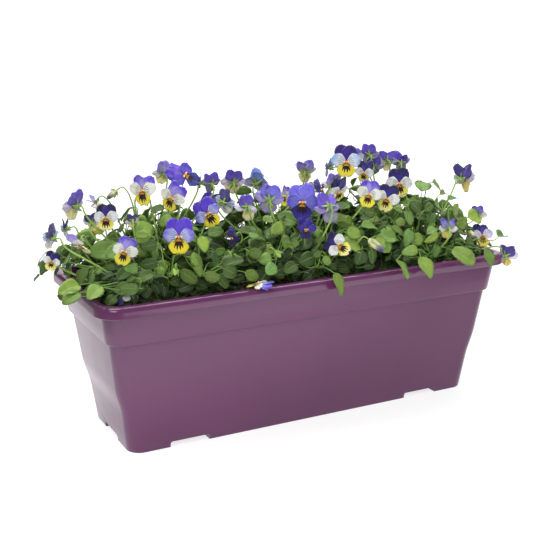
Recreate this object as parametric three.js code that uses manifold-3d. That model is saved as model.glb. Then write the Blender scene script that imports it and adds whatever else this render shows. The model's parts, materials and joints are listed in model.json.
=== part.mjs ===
// A planted window box: a long trough moulded in glossy plum plastic, filled with potting
// soil and planted with six clumps of horned violets in flower.
//
// Millimetres, +Z up. The origin is the centre of the base. The trough's length runs along
// X and its front looks along -Y.
import * as THREE from "three";
import * as BufferGeometryUtils from "three/addons/utils/BufferGeometryUtils.js";
import Module from "manifold-3d";

const wasm = await Module();
wasm.setup();

const { Vector3, MathUtils } = THREE;

// ---------------------------------------------------------------- trough sizes
const RIM_HALF_LENGTH = 250; // half of the trough's length, over the rim
const RIM_HALF_WIDTH = 95;
const TROUGH_HEIGHT = 170;
const RIM_DROP = 11.5; // height of the turned-down lip
const RIM_OVERHANG = 8.7; // from the band under the rim out to the lip's face
const RIM_CORNER = 24;
const RIM_EDGE = 2.6; // rounding of the lip's outer edges
const FOOT_EDGE = 0.8; // rounding of the foot and of the lip's lower edge
const WALL = 2.5;

const BAND_FOOT = 124.8; // height at which the walls step out into the band
const BAND_RISE = 2.2; // height of the rounded step
const BAND_STEP = 3.2; // how far the band stands out from the walls below it
const BAND_CORNER = 20;

const BASE_HALF_LENGTH = 214.8;
const BASE_HALF_WIDTH = 62.8;
const BASE_CORNER = 16;
const DRAFT = 0.121; // outward slope of every wall, per millimetre of height
const END_WAIST_FROM = 41; // the end walls sweep in between these two heights
const END_WAIST_TO = 73.5;
const END_WAIST_STEP = 3.6;

const CHANNEL_HEIGHT = 6.5; // air channels under the floor, open as notches at the foot
const CHANNEL_CORNER = 2.4;
const CROSS_CHANNEL_WIDTH = 45;
const CROSS_CHANNEL_X = 148.5;
const END_CHANNEL_WIDTH = 42;
const DRAIN_RADIUS = 4.5;
const DRAIN_SIDES = 8;
const DRAIN_Y = 28;

const CORNER_STEPS = 4;
const SEAT = 0.3; // clearance between one piece and the piece it rests on
const PAST = 1; // how far a cutting solid reaches past the face it cuts

// ---------------------------------------------------------------- planting sizes
const SOIL_LEVEL = 148;
const SOIL_EDGE_DROP = 2; // the soil stands lower where it meets the walls
const SOIL_CROWNING = 4; // and higher in the middle of the box
const SOIL_LUMP = 3;
const CROWN_RADIUS = 4.5; // foot of each plant, where it stands in its hole in the soil
const CROWN_DEPTH = 11;
const CROWN_RISE = 14; // the crown reaches this far above the soil, into the core
const CROWN_SIDES = 6;

const CANOPY_HEIGHT = 68; // leaf mass above the rim at its middle
const CANOPY_HALF_LENGTH = 285;
const CANOPY_HALF_WIDTH = 102;
const CANOPY_END_FALL = 0.72; // share of its height that it loses towards the ends
const CANOPY_SIDE_FALL = 0.86; // and towards the front and back

// Each plant has a low core of packed stems and young leaves, which its leaves and stalks
// stand out of: an ellipsoid round a point over the crown, flattened above the soil.
const CORE_AXES = new Vector3(74, 33, 26);
const CORE_HEIGHT = 174;
const CORE_FLOOR = 156;
const CORE_BEDDING = 0.8; // petioles and stalks start at this share of the core's radius
const LOWEST_SHOOT = 160;

const LEAF_COUNT = 152;
const LEAF_TRIES = 1200;
const LEAF_RANGE = [-276, 262]; // along X, the leaves' middles lie within this range
const LEAF_HALF_WIDTH = 92; // and along Y within this half width,
const LEAF_CROWDING = 0.66; // crowded towards the front and back, where this is below 1
const LEAF_LENGTHS = [17, 32];
const LEAF_LOWEST_GROWTH = 0.5; // length for each millimetre above the soil, low down
const LEAF_SHAPES = [0.66, 0.9]; // width as a share of the length
const RIM_LEAF_SHAPE = 0.78;
const LEAF_DEPTHS = [3, 27]; // below the outer surface of the leaf mass
const LEAF_TILT = 0.5;
const LEAF_FACING = 0.8; // how far blades face outwards, away from the middle of the trough
const LEAF_FACING_WIDTH = 40; // they do so in full this far in front of it or behind it
const LEAF_FAN = 2.2; // radians within which a leaf turns away from its crown
const LEAF_THICKNESS = 1.5;
const LEAF_ARCH = 0.2; // how far the blade bends down along its length
const LEAF_CUP = 0.12; // how far its sides stand up
const FACE_RADIUS = 12; // no leaf stands before a flower within this radius
const FACE_REACH = 40; // and this far ahead of its face,
const SHOWN_REACH = 90; // or this far ahead towards where the box is looked at from:
const SHOWN_FROM = [-27, 15]; // degrees round from the front towards +X, and upwards
const PETIOLE_START = 0.75; // a petiole aims at this share of the length behind the middle
const PETIOLE_RADIUS = 0.9;
const PETIOLE_LONGEST = 64;
const PETIOLE_BEND = 0.4; // least cosine of the bend between a petiole and its blade

const STALK_RADIUS = 1.05;
const STALK_HOOK = 4; // a stalk leaves its flower straight back for this far
const STALK_LEAN = 8.5; // then it bows down this far behind the flower
const STALK_LEAN_BOWED = 9; // and further behind a flower that hangs its head
const STALK_DROP = 30;
const RIM_CLEARANCE = 8; // height at which a stalk passes over the rim
const RIM_MARGIN = 20;
const SEPAL_REACH = 7;
const SEPAL_CREST = 0.8;
const BUD_REACH = 5.5;
const BUD_CREST = 8;
const BUD_NOD = -40;
const PETAL_THICKNESS = 1.3;

// Where each plant's crown stands on the soil.
const CROWNS = [
  [-160, -37], [-2, -36], [156, -37],
  [-156, 37], [3, 38], [160, 36],
].map(([x, y]) => new Vector3(x, y, SOIL_LEVEL));

// The open flowers. Each group is one node: most hold one flower, and some hold two that
// touch. A flower is [x, y, z of its throat, turn, nod, roll, size, kind]: turn is the way
// it faces, in degrees round from the front towards +X, nod lifts its face and roll turns
// it in its own plane, anticlockwise as seen from in front.
const BLOOMS = [
  [[-278, -35, 233, -140, 5, 0, 0.85, "cream"]],
  [[-282, -50, 213, -30, 0, -15, 0.62, "cream"]],
  [[-249, -30, 221, -45, -50, 70, 0.95, "blue"]],
  [[-244, 0, 255, -152, 0, 0, 1.05, "blue"]],
  [[-215, 20, 252, -110, -65, 0, 0.65, "cream"]],
  [[-246, 30, 226, -120, -10, 0, 0.7, "violet"]],
  [[-220, -30, 246, -27, 5, 0, 0.9, "cream"]],
  [[-225, 0, 236, 150, 0, 0, 0.7, "cream"]],
  [[-212, -60, 217, -30, 10, -15, 0.9, "cream"]],
  [[-185, -8, 235, 165, -20, 0, 0.5, "cream"]],
  [[-180, -28, 270, -45, 0, 0, 1.05, "blue"]],
  [[-165, -2, 258, 80, -10, 0, 0.7, "cream"]],
  [[-152, -38, 262, -55, -5, -25, 1, "cream"]],
  [[-120, 5, 276, 15, 30, 40, 1.2, "violet"]],
  [[-133, 34, 275, 175, 5, 0, 0.9, "blue"]],
  [[-155, -62, 226, -27, 5, 0, 1.15, "blue"]],
  [[-110, -32, 240, -20, 0, 32, 1.05, "blue"]],
  [[-82, 22, 262, 170, 10, 0, 0.8, "violet"]],
  [[-61, 10, 264, 160, 5, 0, 1, "blue"]],
  [[-78, -6, 245, 120, -10, 0, 0.9, "violet"]],
  [[-23, 24, 258, 130, 10, 0, 1.15, "violet"]],
  [[-63, -28, 241, 165, -25, 0, 0.9, "violet"]],
  [[-46, -49, 253, 155, 0, 0, 1.1, "violet"]],
  [[-4, -45, 245, -25, 5, 0, 1.25, "violet"]],
  [[34, 18, 268, 150, 5, 0, 1, "blue"]],
  [[-5, -8, 246, -85, 0, 0, 0.75, "cream"]],
  [[-14, -72, 222, -20, -15, 0, 0.75, "violet"]],
  [[-88, -45, 215, -70, -25, 0, 0.7, "violet"]],
  [[65, -22, 281, -25, 5, 0, 1.2, "cream"]],
  [[65, 18, 270, -140, 0, 0, 0.8, "cream"]],
  [[58, -2, 252, 175, -15, 0, 0.85, "blue"]],
  [[122, 20, 281, 160, 5, 0, 0.85, "violet"], [129, 20, 267, 145, 0, 0, 0.85, "violet"]],
  [[95, 8, 280, 170, 0, 0, 0.75, "blue"]],
  [[80, -36, 270, -60, 0, 0, 0.85, "cream"]],
  [[157, 34, 270, 162, 5, 0, 0.9, "violet"], [173, 28, 267, 150, 5, 0, 0.9, "violet"]],
  [[147, -8, 248, -20, 5, 0, 1.15, "cream"]],
  [[74, -56, 249, -30, 5, -10, 1, "cream"]],
  [[102, -50, 241, -25, 5, -20, 1, "cream"]],
  [[44, -42, 253, 15, -30, 0, 1, "cream"]],
  [[16, -66, 240, 165, -42, 0, 1.05, "violet"]],
  [[39, -10, 250, 40, 0, 0, 0.85, "violet"]],
  [[18, -85, 203, -27, 10, 60, 0.95, "cream"]],
  [[226, -30, 251, 100, 0, 0, 1.2, "blue"]],
  [[279, 5, 197, 120, 0, 0, 0.75, "blue"]],
  [[176, -68, 202, 150, -20, 0, 0.8, "cream"]],
  [[240, -52, 184, -20, 25, 0, 0.95, "blue"]],
  [[263, -72, 161, 110, -5, 0, 0.95, "blue"]],
  [[-195, 74, 218, 190, 10, 0, 1, "blue"]],
  [[-60, 78, 226, 175, 10, 10, 1.1, "cream"]],
  [[60, 76, 228, 200, 5, -10, 1, "violet"]],
  [[165, 78, 218, 170, 10, 0, 1.05, "cream"]],
];

// A spent flower that has dropped onto the rim.
const FALLEN = [
  [-80, -91, 174.8, -120, 62, 0, 0.9, "blue"],
];

// Closed buds, seed capsules and bare calyces, on stalks of their own: [x, y, z, turn].
const BUDS = [
  [-190, 26, 262, -100], [60, -82, 202, -20], [226, 2, 208, -60], [222, -46, 191, 20],
  [-101, 12, 266, 150], [-165, -75, 197, -30], [-100, -70, 202, 10], [-52, -76, 202, 30],
  [135, -50, 230, -20],
];

// Leaves that hang over the rim: [x, y, z of the blade's middle, heading, pitch, length],
// where heading is the way the tip points, round from the front towards +X, and pitch is
// how steeply it points down.
const RIM_LEAVES = [
  [9, -103, 166, 10, 60, 27],
  [89, -103, 173, 4, 44, 27],
  [120, -104, 171, 12, 54, 27],
  [172, -104, 178, 40, 28, 31],
  [209, -103, 173, 8, 52, 22],
  [-276, -10, 190, -92, 10, 22],
  [-271, -66, 189, -72, 6, 25],
  [-271, -74, 181, -70, 22, 22],
  [-250, -80, 186, -50, 20, 22],
  [268, 2, 186, 95, 20, 28],
  [266, -20, 180, 88, 30, 26],
  [-120, 104, 178, 185, 40, 28],
  [40, 104, 173, 170, 52, 26],
  [205, 104, 178, 190, 40, 27],
];

const FINISHES = {
  plastic: { color: 0x6e3a64, roughness: 0.2 },
  soil: { color: 0x33251b, roughness: 1 },
  foliage: { color: 0x557f3c, roughness: 0.55 },
  cream: { color: 0xe9e4b4, roughness: 0.6 },
  blue: { color: 0x8f86d8, roughness: 0.6 },
  violet: { color: 0x5a45bd, roughness: 0.6 },
};

// ---------------------------------------------------------------- solids and meshes
/** A number from 0 to 1 that depends only on the two whole numbers given. */
function chance(index, channel) {
  let bits = Math.imul(index + 1, 0x9e3779b1) ^ Math.imul(channel + 1, 0x85ebca6b);
  bits = Math.imul(bits ^ (bits >>> 15), 0x2c1b3c6d);
  bits = Math.imul(bits ^ (bits >>> 12), 0x297a2d39);
  bits ^= bits >>> 15;
  return (bits >>> 0) / 2 ** 32;
}

/** A triangle geometry from a list of points and a list of corner triples. */
function facets(points, triangles) {
  const geometry = new THREE.BufferGeometry();
  geometry.setFromPoints(points);
  geometry.setIndex(triangles.flat());
  return geometry;
}

/** A closed geometry as a solid that can be joined and cut. */
function solidOf(geometry) {
  const bare = geometry.clone();
  bare.deleteAttribute("normal");
  bare.deleteAttribute("uv");
  const merged = BufferGeometryUtils.mergeVertices(bare, 1e-4);
  return new wasm.Manifold(new wasm.Mesh({
    numProp: 3,
    vertProperties: merged.attributes.position.array,
    triVerts: new Uint32Array(merged.index.array),
  }));
}

/** A solid as a named mesh in the given finish. */
function meshOf(solid, name, finish) {
  const { vertProperties, triVerts } = solid.getMesh();
  const geometry = new THREE.BufferGeometry();
  geometry.setAttribute("position", new THREE.BufferAttribute(vertProperties, 3));
  geometry.setIndex(new THREE.BufferAttribute(triVerts, 1));
  geometry.computeVertexNormals();
  const material = new THREE.MeshStandardMaterial({ metalness: 0, ...finish });
  const mesh = new THREE.Mesh(geometry, material);
  mesh.name = name;
  return mesh;
}

/** Several solids joined into one. */
function union(solids) {
  return wasm.Manifold.union(solids);
}

// ---------------------------------------------------------------- trough and soil
/** One level outline of the trough: a rectangle with round corners, anticlockwise. */
function outline(halfLength, halfWidth, corner, z) {
  const points = [];
  for (let quarter = 0; quarter < 4; quarter += 1) {
    const along = quarter === 0 || quarter === 3 ? 1 : -1;
    const across = quarter < 2 ? 1 : -1;
    for (let step = 0; step <= CORNER_STEPS; step += 1) {
      const angle = (Math.PI / 2) * (quarter + step / CORNER_STEPS);
      points.push(new Vector3(
        along * (halfLength - corner) + corner * Math.cos(angle),
        across * (halfWidth - corner) + corner * Math.sin(angle),
        z,
      ));
    }
  }
  return points;
}

/** A solid skinned over level outlines, in order, and closed by its first and last ones. */
function loft(rings) {
  const count = rings[0].length;
  const points = rings.flat();
  const triangles = [];
  for (let level = 0; level + 1 < rings.length; level += 1) {
    for (let i = 0; i < count; i += 1) {
      const here = level * count + i;
      const beside = level * count + ((i + 1) % count);
      triangles.push([here, beside, beside + count], [here, beside + count, here + count]);
    }
  }
  const foot = points.push(new Vector3(0, 0, rings[0][0].z)) - 1;
  const top = points.push(new Vector3(0, 0, rings.at(-1)[0].z)) - 1;
  const last = (rings.length - 1) * count;
  for (let i = 0; i < count; i += 1) {
    const next = (i + 1) % count;
    triangles.push([foot, next, i], [top, last + i, last + next]);
  }
  return solidOf(facets(points, triangles));
}

/** Outline of the tapered body at a height, moved in by `inset`. */
function bodyOutline(z, inset) {
  const waist = END_WAIST_STEP * MathUtils.smoothstep(z, END_WAIST_FROM, END_WAIST_TO);
  return outline(
    BASE_HALF_LENGTH + DRAFT * z + waist - inset,
    BASE_HALF_WIDTH + DRAFT * z - inset,
    BASE_CORNER - inset / 2,
    z,
  );
}

/** Outline of the wider band below the rim, moved in by `inset`. */
function bandOutline(z, inset) {
  const slope = DRAFT * (z - (TROUGH_HEIGHT - RIM_DROP));
  return outline(
    RIM_HALF_LENGTH - RIM_OVERHANG + slope - inset,
    RIM_HALF_WIDTH - RIM_OVERHANG + slope - inset,
    BAND_CORNER - inset,
    z,
  );
}

/** Outline of the turned-down lip, moved in by `inset`. */
function rimOutline(z, inset) {
  return outline(RIM_HALF_LENGTH - inset, RIM_HALF_WIDTH - inset, RIM_CORNER - inset, z);
}

const WAIST_LEVELS = [END_WAIST_FROM, (END_WAIST_FROM + END_WAIST_TO) / 2, END_WAIST_TO];

/** Outer form of the trough, with the hollow under its turned-down lip. */
function troughOutside() {
  const lipFoot = TROUGH_HEIGHT - RIM_DROP;
  const lipInside = TROUGH_HEIGHT - WALL;
  return loft([
    bodyOutline(0, FOOT_EDGE),
    ...[FOOT_EDGE, ...WAIST_LEVELS, BAND_FOOT].map((z) => bodyOutline(z, 0)),
    bandOutline(BAND_FOOT + BAND_RISE * 0.3, BAND_STEP * 0.3),
    bandOutline(BAND_FOOT + BAND_RISE, 0),
    bandOutline(lipInside, 0),
    rimOutline(lipInside, WALL),
    rimOutline(lipFoot, WALL),
    rimOutline(lipFoot, FOOT_EDGE),
    rimOutline(lipFoot + FOOT_EDGE, 0),
    rimOutline(TROUGH_HEIGHT - RIM_EDGE, 0),
    rimOutline(TROUGH_HEIGHT - RIM_EDGE * 0.3, RIM_EDGE * 0.3),
    rimOutline(TROUGH_HEIGHT, RIM_EDGE),
  ]);
}

/** The space inside the walls, grown smaller by `inset` and open at the top. */
function hollow(inset, top) {
  const shell = WALL + inset;
  return [
    ...[shell, ...WAIST_LEVELS, BAND_FOOT - WALL * 0.4].map((z) => bodyOutline(z, shell)),
    bandOutline(BAND_FOOT + WALL, shell),
    bandOutline(top, shell),
  ];
}

/** A channel along Y with rounded upper corners, grown by `grow` on its sides and top. */
function channel(width, length, grow) {
  const half = width / 2 + grow;
  const top = CHANNEL_HEIGHT + grow;
  const arch = new THREE.Shape();
  arch.moveTo(-half, -PAST);
  arch.lineTo(half, -PAST);
  arch.absarc(half - CHANNEL_CORNER, top - CHANNEL_CORNER, CHANNEL_CORNER, 0, Math.PI / 2);
  arch.absarc(CHANNEL_CORNER - half, top - CHANNEL_CORNER, CHANNEL_CORNER, Math.PI / 2, Math.PI);
  arch.closePath();
  const sweep = { depth: length, bevelEnabled: false, curveSegments: 1 };
  const bar = new THREE.ExtrudeGeometry(arch, sweep);
  return bar.translate(0, 0, -length / 2).rotateX(Math.PI / 2);
}

/** Every air channel under the floor, grown by `grow`. */
function channels(grow) {
  const across = 2 * (RIM_HALF_WIDTH + WALL);
  const along = RIM_HALF_LENGTH - CROSS_CHANNEL_X;
  const solids = [-1, 1].flatMap((side) => {
    const cross = channel(CROSS_CHANNEL_WIDTH, across, grow);
    const end = channel(END_CHANNEL_WIDTH, along, grow).rotateZ(Math.PI / 2);
    return [
      solidOf(cross.translate(side * CROSS_CHANNEL_X, 0, 0)),
      solidOf(end.translate(side * (CROSS_CHANNEL_X + along / 2), 0, 0)),
    ];
  });
  return union(solids);
}

/** An upright cylinder, as a solid, from `foot` up. */
function post(radius, height, sides, x, y, foot) {
  const geometry = new THREE.CylinderGeometry(radius, radius, height, sides);
  return solidOf(geometry.rotateX(Math.PI / 2).translate(x, y, foot + height / 2));
}

/** The trough: an open shell with a turned-down lip, floor channels and drain holes. */
function windowBox() {
  const cavity = loft(hollow(0, TROUGH_HEIGHT + PAST)).subtract(channels(WALL));
  const drainFoot = CHANNEL_HEIGHT - PAST;
  const drains = [-CROSS_CHANNEL_X, CROSS_CHANNEL_X].flatMap((x) => [-DRAIN_Y, DRAIN_Y].map(
    (y) => post(DRAIN_RADIUS, WALL + 2 * PAST, DRAIN_SIDES, x, y, drainFoot),
  ));
  return troughOutside().subtract(cavity).subtract(channels(0)).subtract(union(drains));
}

/** Potting soil: it fills the box to a little under the rim, with a lumpy, crowned top. */
function soil() {
  const rings = hollow(SEAT, SOIL_LEVEL - SOIL_EDGE_DROP);
  const edge = rings.at(-1);
  [0.72, 0.36].forEach((share, ring) => {
    rings.push(edge.map((point, i) => {
      const lump = SOIL_LUMP * (chance(i, 40 + ring) - 0.5);
      const height = SOIL_LEVEL + SOIL_CROWNING * (1 - share) + lump;
      return new Vector3(point.x * share, point.y * share, height);
    }));
  });
  const holeRadius = CROWN_RADIUS + SEAT / Math.cos(Math.PI / CROWN_SIDES);
  const holeFoot = SOIL_LEVEL - CROWN_DEPTH - SEAT;
  const holeHeight = CROWN_DEPTH + SEAT + SOIL_CROWNING + SOIL_LUMP + PAST;
  const holes = CROWNS.map(
    ({ x, y }) => post(holeRadius, holeHeight, CROWN_SIDES, x, y, holeFoot),
  );
  return loft(rings).subtract(channels(WALL + SEAT)).subtract(union(holes));
}

// ---------------------------------------------------------------- plants
/** Height of the leaf mass's outer surface over a point. */
function canopy(x, y) {
  const across = Math.min(1, Math.abs(y) / CANOPY_HALF_WIDTH) ** 2;
  const along = Math.min(1, Math.abs(x) / CANOPY_HALF_LENGTH) ** 4;
  const share = (1 - CANOPY_SIDE_FALL * across) * (1 - CANOPY_END_FALL * along);
  return TROUGH_HEIGHT + CANOPY_HEIGHT * share;
}

/** Outward direction of the leaf mass's surface. */
function canopyNormal(x, y) {
  const step = 2;
  const alongX = (canopy(x + step, y) - canopy(x - step, y)) / (2 * step);
  const alongY = (canopy(x, y + step) - canopy(x, y - step)) / (2 * step);
  return new Vector3(-alongX, -alongY, 1).normalize();
}

/** Level direction, `turn` degrees round from the front towards +X. */
function heading(turn) {
  const angle = MathUtils.degToRad(turn);
  return new Vector3(Math.sin(angle), -Math.cos(angle), 0);
}

/** Middle of a plant's core. */
function coreMiddle(plant) {
  return CROWNS[plant].clone().setZ(CORE_HEIGHT);
}

/** A plant's core and the crown below it, which stands in its hole in the soil. */
function core(plant) {
  const mound = new THREE.IcosahedronGeometry(1, 1);
  mound.scale(...CORE_AXES).translate(...coreMiddle(plant));
  const corners = mound.attributes.position;
  for (let i = 0; i < corners.count; i += 1) {
    corners.setZ(i, Math.max(CORE_FLOOR, corners.getZ(i)));
  }
  const { x, y, z } = CROWNS[plant];
  const height = CROWN_DEPTH + CROWN_RISE;
  return solidOf(mound).add(post(CROWN_RADIUS, height, CROWN_SIDES, x, y, z - CROWN_DEPTH));
}

/** Which plant a shoot here belongs to: the one with the nearest crown, wider along X. */
function nearestPlant(x, y) {
  const distances = CROWNS.map((crown) => Math.hypot(0.8 * (crown.x - x), crown.y - y));
  return distances.indexOf(Math.min(...distances));
}

/** Where a shoot that leads to `goal` starts, bedded in its plant's core. */
function anchor(plant, goal) {
  const middle = coreMiddle(plant);
  const way = goal.clone().sub(middle);
  const spread = way.clone().divide(CORE_AXES).length();
  const point = middle.addScaledVector(way, Math.min(1, CORE_BEDDING / spread));
  return point.setZ(Math.max(point.z, LOWEST_SHOOT));
}

/** A frame at a flower: x to its right as seen from in front, y up its face, z out of it. */
function flowerFrame([x, y, z, turn, nod, roll, size]) {
  const lift = MathUtils.degToRad(nod);
  const out = heading(turn).multiplyScalar(Math.cos(lift)).setZ(Math.sin(lift));
  const up = new Vector3(0, 0, 1).addScaledVector(out, -out.z).normalize();
  up.applyAxisAngle(out, MathUtils.degToRad(roll));
  const right = new Vector3().crossVectors(up, out);
  const frame = new THREE.Matrix4().makeBasis(right, up, out);
  return frame.setPosition(x, y, z).scale(new Vector3(size, size, size));
}

// Petals in order round the flower, anticlockwise as seen from in front: the angle of each
// from straight up, its length and width, how far it leans back, its place in the stack of
// petals, and half of its outline as shares of its length and half width.
const BLUNT = [[0.42, 0.8], [0.86, 0.84]];
const ROUND = [[0.42, 0.8], [0.82, 0.9], [1.03, 0]];
const NOTCHED = [[0.42, 0.8], [0.97, 0.72], [0.88, 0]];
const PETALS = [
  { angle: 25, length: 17.5, width: 16, lean: 0.2, level: -2, outline: ROUND },
  { angle: 82, length: 14.5, width: 13, lean: 0.06, level: 0.4, outline: BLUNT },
  { angle: 180, length: 14.5, width: 18, lean: -0.05, level: 1.6, outline: NOTCHED },
  { angle: 278, length: 14.5, width: 13, lean: 0.06, level: 0.8, outline: BLUNT },
  { angle: 335, length: 17.5, width: 16, lean: 0.2, level: -0.7, outline: ROUND },
];
const PETAL_CREST = 0.62; // a petal is thickest at this share of its length
const THROAT_RADIUS = 2.5;
const THROAT_FRONT = 3.2;
const THROAT_BACK = 4.2;

/** Point at a radius and an angle from straight up, anticlockwise. */
function polar(radius, angle, z) {
  const turned = MathUtils.degToRad(angle);
  return new Vector3(-radius * Math.sin(turned), radius * Math.cos(turned), z);
}

/**
 * An open flower in its own frame, as one closed body: a throat with five petals, each a
 * thin blade that is thickest at its middle and grows out of the throat's ring.
 */
function openFlower() {
  const points = [];
  const triangles = [];
  const put = (point) => points.push(point) - 1;
  const count = PETALS.length;
  const seams = PETALS.map((petal, i) => {
    const next = PETALS[(i + 1) % count];
    const span = (next.angle - petal.angle + 360) % 360;
    return put(polar(THROAT_RADIUS, petal.angle + span / 2, (petal.level + next.level) / 2));
  });
  const front = put(new Vector3(0, 0, THROAT_FRONT));
  const back = put(new Vector3(0, 0, -THROAT_BACK));
  PETALS.forEach(({ angle, length, width, lean, level, outline: half }, i) => {
    const turned = MathUtils.degToRad(angle);
    const onPetal = (along, across, lift) => new Vector3(
      (-across * width) / 2,
      along * length,
      level + lift - lean * length * along * along,
    ).applyAxisAngle(new Vector3(0, 0, 1), turned);
    const before = seams[(i + count - 1) % count];
    const after = seams[i];
    const sides = half.filter(([, across]) => across > 0);
    const mirrored = sides.map(([along, across]) => [along, -across]);
    const edge = [...mirrored, ...half.toReversed()];
    const rim = edge.map(([along, across]) => put(onPetal(along, across, 0)));
    for (const face of [1, -1]) {
      const bulge = (face * PETAL_THICKNESS) / 2;
      const rootRidge = put(polar(THROAT_RADIUS, angle, level + bulge));
      const middle = put(onPetal(PETAL_CREST, 0, bulge));
      const loop = [rootRidge, before, ...rim, after];
      const corners = loop.map((corner, k) => [middle, corner, loop[(k + 1) % loop.length]]);
      const apex = face > 0 ? front : back;
      corners.push([apex, before, rootRidge], [apex, rootRidge, after]);
      triangles.push(...(face > 0 ? corners : corners.map(([a, b, c]) => [a, c, b])));
    }
  });
  return solidOf(facets(points, triangles));
}

const FLOWER = openFlower();

/** The open flower, set at its place. */
function flower(place) {
  return FLOWER.transform(flowerFrame(place).elements);
}

const COLLAR_TURN = 90; // a stalk's first corner, in degrees round from its top

/** A ring of three corners round a point, square to the axis z of `frame`. */
function collar(frame, radius) {
  return [0, 120, 240].map((angle) => polar(radius, angle + COLLAR_TURN, 0).applyMatrix4(frame));
}

/** Axes that follow a path: z along it, with as little twist as possible from `before`. */
function carry(before, point, along) {
  const was = new Vector3().setFromMatrixColumn(before, 2);
  const turn = new THREE.Quaternion().setFromUnitVectors(was, along.clone().normalize());
  return before.clone().setPosition(0, 0, 0)
    .premultiply(new THREE.Matrix4().makeRotationFromQuaternion(turn)).setPosition(point);
}

// A calyx is a star of five sepals: its tips lie back from its waists, and it is closed
// behind by the stalk's first ring.
const SEPALS = 5;
const SEPAL_WAIST = 0.36; // the star's inner corners, as a share of its reach
const SEPAL_TIP_BACK = 1.6;
const SEPAL_WAIST_BACK = 0.2;

/**
 * A calyx and the stalk below it, as one closed body: five narrow sepals in a star that
 * rises `crest` in front, and whose back draws in to a three-sided stalk through `path`,
 * from just behind the calyx down.
 */
function calyxOnStalk(frame, centre, reach, crest, path) {
  const points = [];
  const triangles = [];
  const corners = 2 * SEPALS;
  const pitch = 360 / corners;
  for (let i = 0; i < corners; i += 1) {
    const corner = i % 2 === 0
      ? polar(reach, pitch * i, centre - SEPAL_TIP_BACK)
      : polar(reach * SEPAL_WAIST, pitch * i, centre - SEPAL_WAIST_BACK);
    points.push(corner.applyMatrix4(frame));
  }
  const front = points.push(new Vector3(0, 0, centre + crest).applyMatrix4(frame)) - 1;
  for (let i = 0; i < corners; i += 1) triangles.push([front, i, (i + 1) % corners]);

  const shrink = 1 / new Vector3().setFromMatrixColumn(frame, 2).length();
  let axes = frame.clone().scale(new Vector3(shrink, shrink, shrink)).setPosition(path[0]);
  const rings = path.map((point, i) => {
    const ahead = path[Math.min(i + 1, path.length - 1)];
    const behind = path[Math.max(i - 1, 0)];
    if (i === path.length - 1) axes.setPosition(point);
    else if (i > 0) axes = carry(axes, point, behind.clone().sub(ahead));
    return collar(axes, STALK_RADIUS).map((corner) => points.push(corner) - 1);
  });
  // The star's corners meet the first ring's three, each corner with the nearest.
  const nearest = Array.from(
    { length: corners },
    (_, i) => Math.round((pitch * i - COLLAR_TURN + 360) / 120) % 3,
  );
  for (let i = 0; i < corners; i += 1) {
    const next = (i + 1) % corners;
    const here = rings[0][nearest[i]];
    triangles.push([i, here, next]);
    if (nearest[next] !== nearest[i]) triangles.push([next, here, rings[0][nearest[next]]]);
  }
  for (let level = 0; level + 1 < rings.length; level += 1) {
    for (let k = 0; k < 3; k += 1) {
      const [here, beside] = [rings[level][k], rings[level][(k + 1) % 3]];
      const [below, belowBeside] = [rings[level + 1][k], rings[level + 1][(k + 1) % 3]];
      triangles.push([here, below, belowBeside], [here, belowBeside, beside]);
    }
  }
  const foot = rings.at(-1);
  triangles.push([foot[0], foot[2], foot[1]]);
  return solidOf(facets(points, triangles));
}

/** A stalk's way from behind a calyx, over its hook and down into the plant's core. */
function stalkPath(plant, top, out) {
  const lean = STALK_LEAN + STALK_LEAN_BOWED * Math.max(0, -out.z);
  const back = out.clone().setZ(0).normalize().multiplyScalar(-lean);
  const hook = top.clone().addScaledVector(out, -STALK_HOOK).addScaledVector(back, 0.25);
  hook.z += STALK_HOOK / 2;
  const neck = top.clone().add(back);
  neck.z -= 2 * STALK_HOOK;
  const pastEnd = Math.abs(neck.x) > RIM_HALF_LENGTH - RIM_MARGIN;
  const pastSide = Math.abs(neck.y) > RIM_HALF_WIDTH - RIM_MARGIN;
  if (pastEnd || pastSide) neck.z = Math.max(neck.z, TROUGH_HEIGHT + RIM_CLEARANCE);
  const foot = anchor(plant, neck.clone().setZ(neck.z - STALK_DROP));
  return [top, hook, neck, foot];
}

/** Calyx and stalk of one open flower. */
function flowerSupport(place) {
  const [x, y, , , , , size] = place;
  const frame = flowerFrame(place);
  const centre = -THROAT_BACK - SEPAL_CREST - SEAT / size;
  const top = new Vector3(0, 0, centre - SEPAL_TIP_BACK).applyMatrix4(frame);
  const out = new Vector3().setFromMatrixColumn(frame, 2).normalize();
  const plant = nearestPlant(x, y);
  const path = stalkPath(plant, top, out);
  return { plant, solid: calyxOnStalk(frame, centre, SEPAL_REACH, SEPAL_CREST, path) };
}

/** A closed bud or seed capsule, nodding at the end of its own stalk. */
function bud([x, y, z, turn]) {
  const frame = flowerFrame([x, y, z, turn, BUD_NOD, 0, 1]);
  const out = new Vector3().setFromMatrixColumn(frame, 2);
  const plant = nearestPlant(x, y);
  const top = new Vector3(0, 0, -SEPAL_TIP_BACK).applyMatrix4(frame);
  return { plant, solid: calyxOnStalk(frame, 0, BUD_REACH, BUD_CREST, stalkPath(plant, top, out)) };
}

// Half of a leaf's edge from foot to tip: share of the length, share of the half width.
// The width rises and falls a little, for the leaf's shallow teeth.
const LEAF_EDGE = [[0.14, 0.68], [0.38, 1], [0.6, 0.88], [0.82, 0.66]];
const LEAF_FOOT = 0.02; // the petiole joins the blade at this share of its length
const LEAF_TOP = 0.35; // the arched blade is highest here
const LEAF_CREST = 0.5; // and thickest here

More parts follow.
